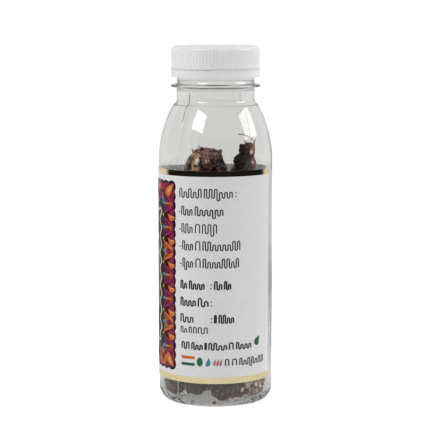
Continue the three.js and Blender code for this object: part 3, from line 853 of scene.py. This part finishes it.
def ornament_panel(inks):
    """The ornament: a border of palmettes about a dark field, with a vine and a medallion in it."""
    black, veins = [], []
    names = ("orange", "magenta", "teal", "yellow", "cream", "brown", "leaf_green")
    tints = {name: [] for name in names}

    def motif(colour, place, length, width, angle, bend=0.0, taper=0.62):
        black.append(leaf(*place, length, width, angle, bend, OUTLINE, taper))
        tints[colour].append(leaf(*place, length, width, angle, bend, 0.0, taper))

    def vein(place, length, angle, bend):
        turn = np.radians(angle)
        along, side = np.array([np.cos(turn), np.sin(turn)]), np.array([-np.sin(turn), np.cos(turn)])
        for shift, share in ((0.0, 0.8), (0.22, 0.45), (-0.22, 0.45)):
            t = np.linspace(-share / 2, share / 2, 7)[:, None]
            arch = bend * length * np.cos(math.pi * t) + shift * 3.4 * np.cos(2 * math.pi * t)
            veins.extend(ribbon(np.asarray(place) + along * length * t + side * arch, 0.26))

    # Palmettes stand on the panel's edge, with a flame between each two.
    for start, length, along, inward in panel_sides(0.0, 4.5):
        heading = math.degrees(math.atan2(along[1], along[0]))
        count = round(length / PALMETTE_PITCH)
        pitch = length / count
        for i in range(count):
            foot = start + along * pitch * (i + 0.5)
            big, small = ("magenta", "orange") if i % 3 != 1 else ("orange", "magenta")
            for turn in (-1, 1):
                place, angle = foot + along * turn * 2.75 + inward * 4.9, heading + 90 - 33 * turn
                motif(big, place, 9.6, 4.9, angle, 0.14 * turn)
                vein(place, 9.6, angle, 0.14 * turn)
            motif(small, foot + inward * 4.4, 6.2, 2.1, heading + 90)
            tints["teal"].append(leaf(*(foot + inward * 8.6), 3.0, 1.7, heading + 90))
            between = foot + along * pitch / 2
            if i < count - 1:
                motif("orange", between + inward * 2.4, 5.8, 2.7, heading + 68, 0.2)
                tints["yellow"].append(leaf(*(between + inward * 2.2), 2.8, 0.8, heading + 68, 0.2))
                tints["yellow"].append(ellipse(*(between + inward * 9.2), 0.6, 0.6, 16))
    for start, _, along, inward in panel_sides(0.0):
        heading = math.degrees(math.atan2(along[1] + inward[1], along[0] + inward[0]))
        motif("orange", start + (along + inward) * 3.6, 8.4, 4.4, heading + 180)
        tints["yellow"].append(leaf(*(start + (along + inward) * 3.4), 4.4, 1.6, heading + 180))

    # The medallion: rings of drops about two pods and a sprig.
    centre = np.array(PANEL_MIDDLE)
    for k in range(22):
        turn = 2 * math.pi * k / 22
        place = centre + (13.6 * math.cos(turn), 26.0 * math.sin(turn))
        colour = ("teal", "yellow", "cream")[k % 3]
        tints[colour].append(leaf(*place, 3.8, 1.7, math.degrees(turn) + 60, 0.12))
    for half_width, half_height, width in ((16.2, 29.2, 0.9), (11.2, 22.6, 0.4)):
        loop = ellipse(*centre, half_width, half_height, 120)
        tints["cream"] += ribbon(loop + loop[:1], width)
    tints["cream"] += vine()
    for k in (-1, 1):
        tints["brown"].append(leaf(*(centre + (2.6 * k, -3)), 27, 5.6, 90 - 9 * k, 0.14 * k, taper=0.9))
    for k in range(-3, 4):
        for side in (-1, 1):
            place = centre + (2.2 * k, 15 + 2.3 * side - 0.3 * k * k)
            tints["leaf_green"].append(leaf(*place, 4.4, 1.7, 90 * side - 10 * k))
    border = []
    for start, length, along, inward in panel_sides(GROUND_INSET):
        end = start + along * (length - GROUND_WIDTH)
        strip = (start, end, end + inward * GROUND_WIDTH, start + inward * GROUND_WIDTH)
        border.append([tuple(p) for p in strip])
    layers = [
        ("ground", [panel_edge(0.0, 0.75, 4.3)], 1, "black"),
        ("border", border, 2, "magenta"),
        ("field", [panel_edge(BORDER, -0.6, 5.5)], 2, "charcoal"),
        ("outlines", black, 3, "black"),
        ("veins", veins, 5, "black"),
    ]
    layers += [(name, tints[name], 4, name) for name in tints]
    return [printed(f"panel_{name}", shapes, level, inks[tint]) for name, shapes, level, tint in layers]


BACK_FROM, BACK_TO = 117, 180  # degrees
HEADING = [(0.0, 12), (13.5, 10)]  # start and width of its words
TABLE_ROWS, TABLE_TOP, TABLE_PITCH = 8, 94, 5.2
COLUMNS = [(1, (7, 13)), (17, (4, 6)), (24, (3, 5))]  # where each starts, and how wide its words are
TEXT_ROWS, TEXT_TOP, TEXT_PITCH = 6, 45, 4.4


def back_panel(inks):
    """The panel at the back: a heading, a ruled table and a paragraph, all of loops."""
    rng = random.Random(41)
    left, right = around(BACK_FROM), around(BACK_TO)
    dark = []
    for start, width in HEADING:
        dark += scribble(rng, left + start, 99, width, 4.2, 0.6)
    for k in range(TABLE_ROWS + 1):
        z = TABLE_TOP - TABLE_PITCH * k
        dark.append(bar(left, z, right, z + 0.25))
        for start, widths in COLUMNS if k < TABLE_ROWS else []:
            dark += scribble(rng, left + start, z - 3.9, rng.uniform(*widths), 2.5, 0.38)
    for k in range(TEXT_ROWS):
        z, s = TEXT_TOP - TEXT_PITCH * k, left
        while s < right - 6:
            width = min(rng.uniform(3, 9), right - s)
            dark += scribble(rng, s, z, width, 2.4, 0.36)
            s += width + 1.4
    return [printed("back_print", dark, 1, inks["text"])]


# ---- Tamarind -----------------------------------------------------------------------------------

POD_VOXEL, TOP_VOXEL = 0.5, 0.33
HIGHEST_LUMP = 0.4  # how far a pod may swell out of its solid
LUMP_SIZE, LUMP_HEIGHT = 3.6, 0.5
CREASE_LENGTH, CREASE_WIDTH, CREASE_DEPTH = 4.0, 1.5, 0.8
WRINKLE_LENGTH, WRINKLE_WIDTH, WRINKLE_DEPTH = 3.4, 1.15, 0.55
PIMPLE_SIZE, PIMPLE_HEIGHT = 0.8, 0.16
CORDS = 4  # lengthwise fibres of a pod
CORD_HEIGHT, CORD_WIDTH = 0.32, 0.42
BAND_HEIGHT = 0.35

# Mounds with broad tops: the middle (x, z), half width, height, and how far each corner stands out.
SHOULDERS = {
    "tamarind_27": ((-4.3, 110.0), 10.0, 9.0, 1.0, 1.9),
    "tamarind_28": ((12.9, 108.0), 6.1, 13.5, 1.9, 0.2),
}
# Scraps of shell on the pods that show: x, z and size. Those on tamarind_28 are painted highlights, pale
# spots where its glossy flesh shines; those on tamarind_01 are partly shell and partly a painted reflection
# of the glass.
SHELL_AND_GLINTS = {
    "tamarind_27": [(-9.6, 116.0, 0.9), (-8.6, 112.6, 1.1), (-3.2, 115.4, 0.6)],
    "tamarind_28": [(18.3, 118.0, 0.7), (18.6, 114.0, 0.5)],
    "tamarind_01": [
        (13.0, 8.2, 1.1),
        (15.4, 12.2, 1.3),
        (16.6, 9.6, 1.5),
        (18.2, 12.4, 1.2),
        (19.6, 10.2, 1.4),
        (20.8, 12.8, 1.0),
        (21.4, 8.6, 0.9),
    ],
}
# Upright bands of clinging fibre on the pods that show: x, half width, strength and tint. The pale band on
# tamarind_01 is partly husk and partly a painted reflection of the glass.
BANDS = {
    "tamarind_01": [(18.4, 3.4, 1.0, "husk_and_reflection")],
    "tamarind_27": [
        (-9.1, 2.0, 1.0, "straw"),
        (-3.4, 0.9, 0.6, "straw"),
        (-3.8, 1.5, 0.8, "russet"),
        (-13.6, 0.5, 0.7, "straw"),
    ],
    "tamarind_28": [(17.6, 1.3, 1.0, "russet"), (18.6, 0.6, 0.6, "straw")],
}


def noise_at(points, seed):
    """Smooth noise from -1 to 1 at each point."""
    shift = Vector((17.3 * seed, 5.1 * seed, 9.7 * seed))
    return np.array([noise.noise(Vector(p) + shift) for p in points])


def remeshed(name, source, voxel):
    """A fine even copy of a CAD node's mesh, slightly smoothed."""
    rough = bpy.data.objects.new(name + "_rough", source.data.copy())
    bpy.context.collection.objects.link(rough)
    remesh = rough.modifiers.new("remesh", "REMESH")
    remesh.mode, remesh.voxel_size = "VOXEL", voxel * MM
    smooth = rough.modifiers.new("smooth", "SMOOTH")
    smooth.factor, smooth.iterations = 0.5, 3
    evaluated = rough.evaluated_get(bpy.context.evaluated_depsgraph_get())
    mesh = bpy.data.meshes.new_from_object(evaluated)
    bpy.data.objects.remove(rough)
    mesh.name = name
    mesh.materials.clear()
    fine = bpy.data.objects.new(name, mesh)
    bpy.context.collection.objects.link(fine)
    return fine


def squared(points, middle, wide, tall, left, right):
    """How far the upper corners of a mound move out, to the left and to the right."""
    across, up = (points[:, 0] - middle[0]) / wide, (points[:, 2] - middle[1]) / tall
    reach = np.hypot(across, up) + 1e-6
    corner = np.clip(2 * np.abs(across) * up / reach**2, 0, 1) * np.clip(reach, 0, 1) ** 2
    push = (np.where(across < 0, left, right) * corner / reach)[:, None]
    return np.column_stack([across, np.zeros(len(points)), up]) * push


def make_pod(name, source, seed, material, voxel, bands, fibre=0.8):
    """A peeled pod: lumpy, creased across, wrinkled and corded along, with bands of fibre on it."""
    pod = remeshed(name, source, voxel)
    mesh = pod.data
    count = len(mesh.vertices)
    points, normals = np.zeros(count * 3), np.zeros(count * 3)
    mesh.vertices.foreach_get("co", points)
    mesh.vertex_normals.foreach_get("vector", normals)
    points, normals = points.reshape(-1, 3) / MM, normals.reshape(-1, 3)

    # The pod's own frame: along runs from end to end, and turn goes round its bent middle line.
    centre = points.mean(axis=0)
    _, axes = np.linalg.eigh(np.cov((points - centre).T))
    along = (points - centre) @ axes[:, 2]
    line = np.column_stack([np.polyval(np.polyfit(along, points[:, i], 3), along) for i in range(3)])
    across = (points - line) @ axes[:, :2]
    turn, radius = np.arctan2(across[:, 1], across[:, 0]), np.hypot(across[:, 0], across[:, 1])

    points += squared(points, *SHOULDERS.get(source.name, ((0, 0), 1, 1, 0, 0)))
    lumps = noise_at(points / LUMP_SIZE, seed)
    pimples = noise_at(points / PIMPLE_SIZE, seed + 0.37)
    wander = noise_at(points / (2 * LUMP_SIZE), seed + 0.71)
    bent = np.column_stack([across / CREASE_LENGTH, along / CREASE_WIDTH + 1.6 * wander])
    crease = (1 - np.abs(noise_at(bent, seed + 0.13))) ** 5
    grain = np.column_stack([across / WRINKLE_WIDTH + 0.8 * wander[:, None], along / WRINKLE_LENGTH])
    wrinkle = (1 - np.abs(noise_at(grain, seed + 0.29))) ** 4
    cord = np.zeros(count)
    for k in range(CORDS):
        middle = 2 * math.pi * k / CORDS + seed + 0.35 * np.sin(0.21 * along + 1.9 * k + seed)
        away = np.abs(np.angle(np.exp(1j * (turn - middle)))) * radius
        broken = noise_at(np.column_stack([along / 5, np.full(count, 3.1 * k), along * 0]), seed)
        cord = np.maximum(cord, np.exp(-((away / CORD_WIDTH) ** 2)) * np.clip(0.5 + 2 * broken, 0, 1))
    shares = {tint: np.zeros(count) for tint in ("straw", "russet", "husk_and_reflection")}
    ragged = noise_at(points / (1.5, 1.5, 4.0), seed + 0.53)
    torn = np.clip(0.8 + 1.6 * noise_at(points / (1.1, 1.1, 2.2), seed + 0.91), 0.1, 1)
    for x, half_width, strength, tint in bands:
        away = np.abs(points[:, 0] - x + 1.1 * ragged + 0.6 * wander) / half_width
        shares[tint] = np.maximum(shares[tint], strength * np.clip(2.2 - 2 * away, 0, 1) * torn)
    raised = np.max(list(shares.values()), axis=0)
    crease, wrinkle = crease * (1 - 0.6 * raised), wrinkle * (1 - 0.3 * raised)
    height = LUMP_HEIGHT * lumps + PIMPLE_HEIGHT * pimples + CORD_HEIGHT * cord + BAND_HEIGHT * raised
    height = height - CREASE_DEPTH * crease - WRINKLE_DEPTH * wrinkle
    height = np.minimum(height, HIGHEST_LUMP)
    moved = (points + normals * height[:, None]) * MM
    mesh.vertices.foreach_set("co", moved.ravel())
    shares["fibre"] = cord * fibre
    # Painted shade: creases and wrinkles are marked to be coloured near-black.
    shares["painted_crease_shade"] = np.clip(np.maximum(crease * 1.5 - 0.45, wrinkle * 1.3 - 0.5), 0, 1)
    for attribute, values in shares.items():
        mesh.attributes.new(attribute, "FLOAT", "POINT").data.foreach_set("value", values)
    mesh.update()
    mesh.shade_smooth()
    mesh.materials.append(material)
    pod["grain"] = axes[:, 2]
    return pod


def strand(points, radius, sides=7):
    """Vertices and faces of a thin closed tube along points, drawn out thinner towards its far end."""
    points = [Vector(p) for p in points]
    vertices, faces = [], []
    side = Vector((0.3, 0.2, 1.0))
    for i, p in enumerate(points):
        ahead = points[min(i + 1, len(points) - 1)] - points[max(i - 1, 0)]
        u = ahead.cross(side).normalized()
        w = ahead.cross(u).normalized()
        r = radius * (1 - 0.55 * i / (len(points) - 1))
        for k in range(sides):
            a = 2 * math.pi * k / sides
            vertices.append(p + (u * math.cos(a) + w * math.sin(a)) * r)
    for i in range(len(points) - 1):
        for k in range(sides):
            a, b = i * sides + k, i * sides + (k + 1) % sides
            faces.append((a, b, b + sides, a + sides))
    last = (len(points) - 1) * sides
    faces += [tuple(range(sides - 1, -1, -1)), tuple(range(last, last + sides))]
    return vertices, faces


def smooth_path(points, pieces=6):
    """Points along a smooth curve through the given ones."""
    points = [Vector(p) for p in points]
    points = [points[0] * 2 - points[1], *points, points[-1] * 2 - points[-2]]
    out = []
    for a, b, c, d in zip(points, points[1:], points[2:], points[3:]):
        for i in range(pieces):
            t = i / pieces
            cubic = (3 * b - a - 3 * c + d) * t**3
            out.append(0.5 * ((2 * b) + (c - a) * t + (2 * a - 5 * b + 4 * c - d) * t**2 + cubic))
    return out + [points[-2]]


def joined(name, parts, material):
    """One object of several separate closed bits."""
    vertices, faces = [], []
    for part_vertices, part_faces in parts:
        shift = len(vertices)
        vertices += part_vertices
        faces += [tuple(i + shift for i in face) for face in part_faces]
    return new_object(name, vertices, faces, material)


# Torn ends that stand up from the two upper pods: a path and its radius.
SPIKES = [
    ([(13.9, -8.0, 119.8), (13.8, -8.0, 121.6), (13.5, -8.0, 123.0)], 0.5),
    ([(17.6, -8.0, 119.8), (17.9, -8.0, 121.8), (18.3, -8.2, 123.4)], 0.4),
    ([(-6.6, -8.0, 117.5), (-7.0, -8.0, 119.2), (-7.5, -8.2, 120.5)], 0.45),
    ([(-10.0, -8.0, 116.6), (-10.5, -8.0, 118.0), (-11.0, -8.0, 119.2)], 0.45),
    ([(-8.6, -8.0, 117.4), (-8.2, -8.0, 119.4), (-7.9, -8.0, 120.8)], 0.2),
    ([(2.3, -8.0, 117.0), (2.6, -8.0, 118.0), (2.7, -8.0, 118.8)], 0.6),
]
# One long loose fibre that curls over from the right one, and a knot in it.
LOOSE = [
    (17.9, -8.8, 120.4),
    (17.8, -9, 122.0),
    (17.35, -9, 123.1),
    (16.9, -9, 123.7),
    (15.5, -9, 124.8),
    (13.6, -9, 125.5),
    (11.8, -9, 125.9),
    (10.4, -9, 126.0),
]
KNOT = [(15.3, -9.0, 124.8), (14.8, -9.0, 124.95), (14.1, -9.0, 125.2)]
CRUMBS = 110
FLAKE_POINTS, FLAKE_HALF = 14, 0.13  # points round a flake, and half its thickness
UPRIGHT = Vector((0, 0, 1))
STEP = 0.7  # between the points of a fibre
ROOM = 25.4  # how far from the axis a loose bit may lie


def kept_inside(p):
    """The nearest place to p that is inside the bottle, a little off its wall and floor."""
    r = math.hypot(p.x, p.y)
    if r > ROOM:
        p = Vector((p.x * ROOM / r, p.y * ROOM / r, p.z))
        r = ROOM
    return Vector((p.x, p.y, max(p.z, bottle_floor(r) + 0.35)))


def surface_of(pod):
    """A pod's points in millimetres, their normals, and a tree to look them up in."""
    points = [v.co / MM for v in pod.data.vertices]
    normals = [Vector(n.vector) for n in pod.data.vertex_normals]
    tree = kdtree.KDTree(len(points))
    for i, p in enumerate(points):
        tree.insert(p, i)
    tree.balance()
    return points, normals, tree


def fibre_on(surface, grain, rng, steps, loose):
    """The path of a fibre along a pod. Its far end stands off by loose."""
    points, normals, tree = surface
    p = points[rng.randrange(len(points))]
    sway = Vector([rng.uniform(-0.45, 0.45) for _ in range(3)])
    heading = (Vector(grain) * rng.choice((-1, 1)) + sway).normalized()
    path = []
    for i in range(steps):
        _, nearest, _ = tree.find(p)
        lift = rng.uniform(0.02, 0.14) + loose * max(0.0, (i - 0.55 * steps) / steps) ** 1.5 * 3.0
        path.append(kept_inside(points[nearest] + normals[nearest] * lift))
        p = points[nearest] + heading * STEP
    return path


def flake(surface, rng, size, start=None):
    """A ragged curved scrap of shell that lies on a pod: vertices and faces of a thin closed plate."""
    points, normals, tree = surface
    middle = points[rng.randrange(len(points))] if start is None else start
    _, nearest, _ = tree.find(middle)
    normal = normals[nearest]
    centre = points[nearest] + normal * 0.35
    u = normal.cross(Vector((0.2, 0.1, 1.0))).normalized()
    w = normal.cross(u)
    count = FLAKE_POINTS
    reach = [size * rng.uniform(0.6, 1.15) for _ in range(count)]
    vertices, faces = [], []
    for side in (1, -1):
        vertices.append(kept_inside(centre + normal * (FLAKE_HALF * side)))
        for share in (0.5, 1.0):
            for k in range(count):
                a = 2 * math.pi * k / count
                out = (u * math.cos(a) + w * math.sin(a) * 1.5) * reach[k] * share
                bend = share**2 * 0.12 * size * math.cos(2 * a + size)
                lift = normal * (FLAKE_HALF * side * (1.3 - share) - bend)
                vertices.append(kept_inside(centre + out + lift))
    half = 1 + 2 * count
    for k in range(count):
        n = (k + 1) % count
        faces += [(0, 1 + k, 1 + n), (1 + k, 1 + count + k, 1 + count + n, 1 + n)]
        faces += [(half, half + 1 + n, half + 1 + k)]
        faces += [(half + 1 + k, half + 1 + n, half + 1 + count + n, half + 1 + count + k)]
        faces += [(1 + count + k, half + 1 + count + k, half + 1 + count + n, 1 + count + n)]
    return vertices, faces


def bottle_floor(r):
    """Height of the bottle's inside above the table, at a distance from its axis."""
    if r < RING_INNER:
        return PUSH_UP * (1 - (r / RING_INNER) ** 2) + BASE_WALL
    if r < RING_OUTER:
        return BASE_WALL
    heel = HEEL - BODY_WALL
    return BASE_WALL + heel - math.sqrt(max(0.0, heel**2 - (r - RING_OUTER) ** 2))


def make_crumbs(name, rng, count, sizes, material):
    """Bits of shell and pulp that have fallen to the heel of the bottle."""
    parts = []
    for _ in range(count):
        bm = bmesh.new()
        bmesh.ops.create_icosphere(bm, subdivisions=1, radius=1.0)
        size = rng.uniform(*sizes)
        r = 24.6 - 8.0 * rng.random() ** 1.6
        a = math.radians(rng.uniform(-180, 180))
        squash = [rng.uniform(0.6, 1.5), rng.uniform(0.5, 1.0), rng.uniform(0.35, 0.8)]
        lift = bottle_floor(r) + size * 0.55
        bits = []
        for v in bm.verts:
            p = Vector(v.co[i] * squash[i] * size * rng.uniform(0.75, 1.2) for i in range(3))
            tilt = Vector((rng.uniform(-0.3, 0.3), rng.uniform(-0.3, 0.3), 1))
            p.rotate(UPRIGHT.rotation_difference(tilt))
            bits.append(p + Vector(polar(r, a, lift)))
        parts.append((bits, [tuple(v.index for v in f.verts) for f in bm.faces]))
        bm.free()
    return joined(name, parts, material)


# ---- Making the object --------------------------------------------------------------------------


def place(obj, body, slot_name, *nodes):
    """Rides the piece on its body, and has it stand for its CAD nodes."""
    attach(obj, body)
    if nodes:
        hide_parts(*nodes)


plastic = white_plastic()
foil = gold_foil()
white_paper = coated_paper("label_white", (0.77, 0.77, 0.78), (0.81, 0.81, 0.815))
# Painted shade: the label's side that faces the bottle is a dark grey, for the shade inside the bottle.
painted_shade_backing = coated_paper("label_backing_painted_shade", (0.24, 0.238, 0.233), (0.3, 0.298, 0.292), 0.6)

place(make_bottle(clear_pet()), "bottle", "clear_pet", "bottle")
place(make_cap(plastic), "cap", "white_cap", "cap")
place(make_band(plastic), "bottle", "white_cap", "tamper_band")
place(make_bridges(plastic), "bottle", "white_cap")
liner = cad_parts["cap_liner"].data.materials
liner.clear()
liner.append(liner_foam())

label = label_band("label_wrap", LABEL_LOW, LABEL_HIGH, LABEL_INNER, LABEL_OUTER, white_paper, painted_shade_backing)
place(label, "bottle", "label_paper", "label")
for name, low, high in (
    ("foil_top", LABEL_HIGH - FOIL_TOP, LABEL_HIGH),
    ("foil_bottom", LABEL_LOW, LABEL_LOW + FOIL_BOTTOM),
):
    strip = label_band(name, low, high, LABEL_OUTER - INK_ROOT, LABEL_OUTER + INK_STEP, foil)
    place(strip, "bottle", "gold_foil")

inks = {
    name: ink(name, colour)
    for name, colour in {
        "text": (0.02, 0.022, 0.03),
        "black": (0.006, 0.005, 0.007),
        "charcoal": (0.018, 0.017, 0.016),
        "orange": (0.66, 0.15, 0.035),
        "magenta": (0.28, 0.016, 0.085),
        "teal": (0.05, 0.27, 0.36),
        "yellow": (0.75, 0.42, 0.08),
        "cream": (0.66, 0.63, 0.52),
        "brown": (0.2, 0.075, 0.03),
        "leaf_green": (0.08, 0.25, 0.06),
        "green": (0.02, 0.16, 0.06),
        "pale_red": (0.5, 0.2, 0.2),
    }.items()
}
for layer in side_panel(inks) + ornament_panel(inks) + back_panel(inks):
    place(layer, "bottle", "label_paper")

DRYNESS = (0.03, 0.0, 0.05, 0.02)
flesh = [tamarind_flesh(f"flesh_{k}", 3.7 * k, dryness) for k, dryness in enumerate(DRYNESS)]
# The top pod gets more of the grey that is partly dust and partly a painted sheen, the stub almost none.
special = {
    "tamarind_27": tamarind_flesh("flesh_top", 21.0, 0.02, 0.85, dust_and_sheen=0.24),
    "tamarind_28": tamarind_flesh("flesh_stub", 34.0, -0.06, 0.2, dust_and_sheen=0.02, gloss=0.14),
}
low_flesh = tamarind_flesh("flesh_low", 11.0, 0.01, 1.9, dust_and_sheen=0.19, warmth=1.45)
LOWEST = [f"tamarind_{k:02d}" for k in range(1, 7)]
pale_fibre = dry_fibre("pale_fibre", (0.42, 0.27, 0.15), (0.66, 0.5, 0.34))
dark_fibre = dry_fibre("dark_fibre", (0.05, 0.022, 0.014), (0.16, 0.07, 0.04))
pale_shell_and_glint = dry_fibre("pale_shell_and_glint", (0.46, 0.34, 0.25), (0.72, 0.61, 0.5))
pod_nodes = sorted(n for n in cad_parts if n.startswith("tamarind_"))
bit_rng = random.Random(7)
pale_strands, dark_strands, flakes_and_glints = [], [], []
for k, node in enumerate(pod_nodes):
    material = special.get(node, low_flesh if node in LOWEST else flesh[k % len(flesh)])
    bands, voxel = BANDS.get(node, []), TOP_VOXEL if node in BANDS else POD_VOXEL
    fibre = 0.2 if node == "tamarind_28" else 0.8
    pod = make_pod(f"pod_{k + 1:02d}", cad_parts[node], k + 1, material, voxel, bands, fibre)
    place(pod, "bottle", "tamarind", node)
    surface, grain = surface_of(pod), pod["grain"]
    for _ in range(16 if node in BANDS else 12):
        path = fibre_on(surface, grain, bit_rng, bit_rng.randrange(5, 13), bit_rng.uniform(0.0, 1.0))
        chosen = pale_strands if bit_rng.random() < 0.35 and node not in BANDS else dark_strands
        chosen.append(strand(path, bit_rng.uniform(0.1, 0.2), 5))
    for _ in range(0 if node in BANDS else 3):
        flakes_and_glints.append(flake(surface, bit_rng, bit_rng.uniform(0.7, 1.6)))
    for x, z, size in SHELL_AND_GLINTS.get(node, []):
        flakes_and_glints.append(flake(surface, bit_rng, size, Vector((x, -math.sqrt(ROOM**2 - x**2), z))))

place(joined("fibres_pale", pale_strands, pale_fibre), "bottle", "tamarind_fibre")
place(joined("fibres_dark", dark_strands, dark_fibre), "bottle", "tamarind_fibre")
# Scraps of shell, and on the stub and the lowest pod painted highlights and reflection, all in pale shell
# colour.
place(joined("shell_flakes_and_glints", flakes_and_glints, pale_shell_and_glint), "bottle", "tamarind_fibre")
spikes = [strand(smooth_path(path), radius) for path, radius in SPIKES]
loose_parts = [strand(smooth_path(LOOSE)[::-1], 0.26), strand(KNOT, 0.42), *spikes]
place(joined("strand_loose", loose_parts, dark_fibre), "bottle", "tamarind_fibre")
crumb_rng = random.Random(99)
place(make_crumbs("crumbs_pale", crumb_rng, CRUMBS, (0.25, 0.6), pale_fibre), "bottle", "tamarind_fibre")
place(make_crumbs("crumbs_dark", crumb_rng, CRUMBS // 3, (0.4, 1.1), flesh[0]), "bottle", "tamarind")

# ---- Stage, light and camera --------------------------------------------------------------------

WHITE = (1.0, 1.0, 1.0, 1.0)
SEEN_THROUGH = 0.73  # brightness of the surroundings seen through the bottle
MIRRORED, DARK_STUDIO = 0.66, 0.01  # brightness behind and in front, in reflections
FLOOR_LIFT, FLOOR_FILL = 0.6, 0.12  # the floor's own glow, for the camera and for other surfaces
SHADED_FLOOR = 0.34  # brightness of the floor under the bottle, seen through its base
LAMPS_LOOK_AT = (0.0, -0.01, 0.13)
LAMP_DISTANCE = 0.95
FLOOR_SIDE, FLOOR_FRONT, FLOOR_BACK = 6000, -580, 9000  # where its edges are
CAMERA_LENS, CAMERA_DOWN = 156.02, 6.619  # its focal length, and the degrees that it looks down
CAMERA_PLACE = (-0.00028, -0.8698, 0.18818)
BOUNCES = 32


def spread(tree, source, *ends):
    """Maps a value from one range onto another: low, high, first, last."""
    return add_node(tree, "ShaderNodeMapRange", source, *ends).outputs[0]


def make_world():
    """A white studio: dark in front where the camera stands, bright behind."""
    world = bpy.data.worlds.new("studio")
    world.use_nodes = True
    world.cycles.sampling_method = "NONE"
    tree = world.node_tree
    direction = tree.nodes.new("ShaderNodeTexCoord").outputs["Generated"]
    parts = add_node(tree, "ShaderNodeSeparateXYZ", direction).outputs
    ray = tree.nodes.new("ShaderNodeLightPath").outputs
    soft = spread(tree, parts["Y"], -0.75, 0.2, 0.0, 0.75)
    mirrored = spread(tree, parts["Y"], 0.4, 0.58, DARK_STUDIO, MIRRORED)
    level = mix(tree, "FLOAT", ray["Is Glossy Ray"], soft, mirrored)
    ahead = spread(tree, parts["Y"], -0.55, -0.1, 0.0, 1.0)
    level_off = add_node(tree, "ShaderNodeMath", parts["Z"], operation="ABSOLUTE").outputs[0]
    steep = spread(tree, level_off, 0.22, 0.45, 0.0, 1.0)
    deep = spread(tree, ray["Transmission Depth"], 2.4, 2.6, 0.0, 1.0)
    lit = ahead
    for other in (steep, deep):
        lit = add_node(tree, "ShaderNodeMath", lit, other, operation="MAXIMUM").outputs[0]
    through = mix(tree, "FLOAT", lit, DARK_STUDIO, SEEN_THROUGH)
    level = mix(tree, "FLOAT", ray["Is Transmission Ray"], level, through)
    level = mix(tree, "FLOAT", ray["Is Camera Ray"], level, 1.0)
    background = tree.nodes["Background"]
    feed(tree, background.inputs["Color"], WHITE)
    feed(tree, background.inputs["Strength"], level)
    bpy.context.scene.world = world


def make_floor():
    """A pale floor that ends in front of the bottle, where the studio is dark."""
    material = bpy.data.materials.new("floor_white")
    material.use_nodes = True
    tree = material.node_tree
    tree.nodes.remove(tree.nodes["Principled BSDF"])
    where = tree.nodes.new("ShaderNodeTexCoord").outputs["Object"]
    away = add_node(tree, "ShaderNodeVectorMath", where, operation="LENGTH").outputs["Value"]
    depth = add_node(tree, "ShaderNodeSeparateXYZ", where).outputs["Y"]
    ray = tree.nodes.new("ShaderNodeLightPath").outputs
    shade = spread(tree, away, 0.018, 0.07, SHADED_FLOOR, SEEN_THROUGH)
    far = spread(tree, depth, 0.35, 0.55, DARK_STUDIO, MIRRORED)
    outward = spread(tree, away, 0.2, 0.36, 0.0, 1.0)
    mirrored = mix(tree, "FLOAT", outward, MIRRORED, far)
    level = mix(tree, "FLOAT", ray["Is Transmission Ray"], mirrored, shade)
    even = add_node(tree, "ShaderNodeEmission", Color=WHITE, Strength=level).outputs[0]
    lift = mix(tree, "FLOAT", ray["Is Camera Ray"], FLOOR_FILL, FLOOR_LIFT)
    glow = add_node(tree, "ShaderNodeEmission", Color=WHITE, Strength=lift).outputs[0]
    diffuse = add_node(tree, "ShaderNodeBsdfDiffuse", Color=(0.84, 0.84, 0.84)).outputs[0]
    both = add_node(tree, "ShaderNodeAddShader", diffuse, glow).outputs[0]
    seen = mix(tree, "FLOAT", ray["Is Transmission Ray"], ray["Is Glossy Ray"], 1.0)
    show_surface(tree, add_node(tree, "ShaderNodeMixShader", seen, both, even).outputs[0])
    corners = [
        (-FLOOR_SIDE, FLOOR_FRONT, 0),
        (FLOOR_SIDE, FLOOR_FRONT, 0),
        (FLOOR_SIDE, FLOOR_BACK, 0),
        (-FLOOR_SIDE, FLOOR_BACK, 0),
    ]
    floor = new_object("floor", corners, [(0, 1, 2, 3)], material, smooth=False)


def softbox(name, azimuth, elevation, width, height, power, roll=0.0):
    """A rectangular lamp that looks at the shoulder of the bottle."""
    data = bpy.data.lights.new(name, "AREA")
    data.shape, data.size, data.size_y, data.energy = "RECTANGLE", width, height, power
    light = bpy.data.objects.new(name, data)
    a, e = math.radians(azimuth), math.radians(elevation)
    out = Vector((math.sin(a) * math.cos(e), -math.cos(a) * math.cos(e), math.sin(e)))
    light.location = Vector(LAMPS_LOOK_AT) + LAMP_DISTANCE * out
    aim = (-out).to_track_quat("-Z", "Y")
    light.rotation_mode = "QUATERNION"
    light.rotation_quaternion = aim @ Quaternion((0, 0, 1), math.radians(roll))
    light.visible_camera = False
    light.visible_transmission = False
    bpy.context.collection.objects.link(light)


make_world()
make_floor()
softbox("softbox_left", -43.0, 36.0, 0.42, 0.35, 4.4, roll=-4.0)
softbox("softbox_right", 84.7, 25.8, 0.54, 0.4, 3.9, roll=-5.0)

camera_data = bpy.data.cameras.new("camera")
camera_data.lens = CAMERA_LENS
camera = bpy.data.objects.new("camera", camera_data)
camera.location = CAMERA_PLACE
camera.rotation_euler = (math.radians(90 - CAMERA_DOWN), 0, 0)
bpy.context.collection.objects.link(camera)
bpy.context.scene.camera = camera
bpy.context.scene.view_settings.view_transform = "Standard"
bpy.context.scene.cycles.max_bounces = BOUNCES
bpy.context.scene.cycles.transmission_bounces = BOUNCES
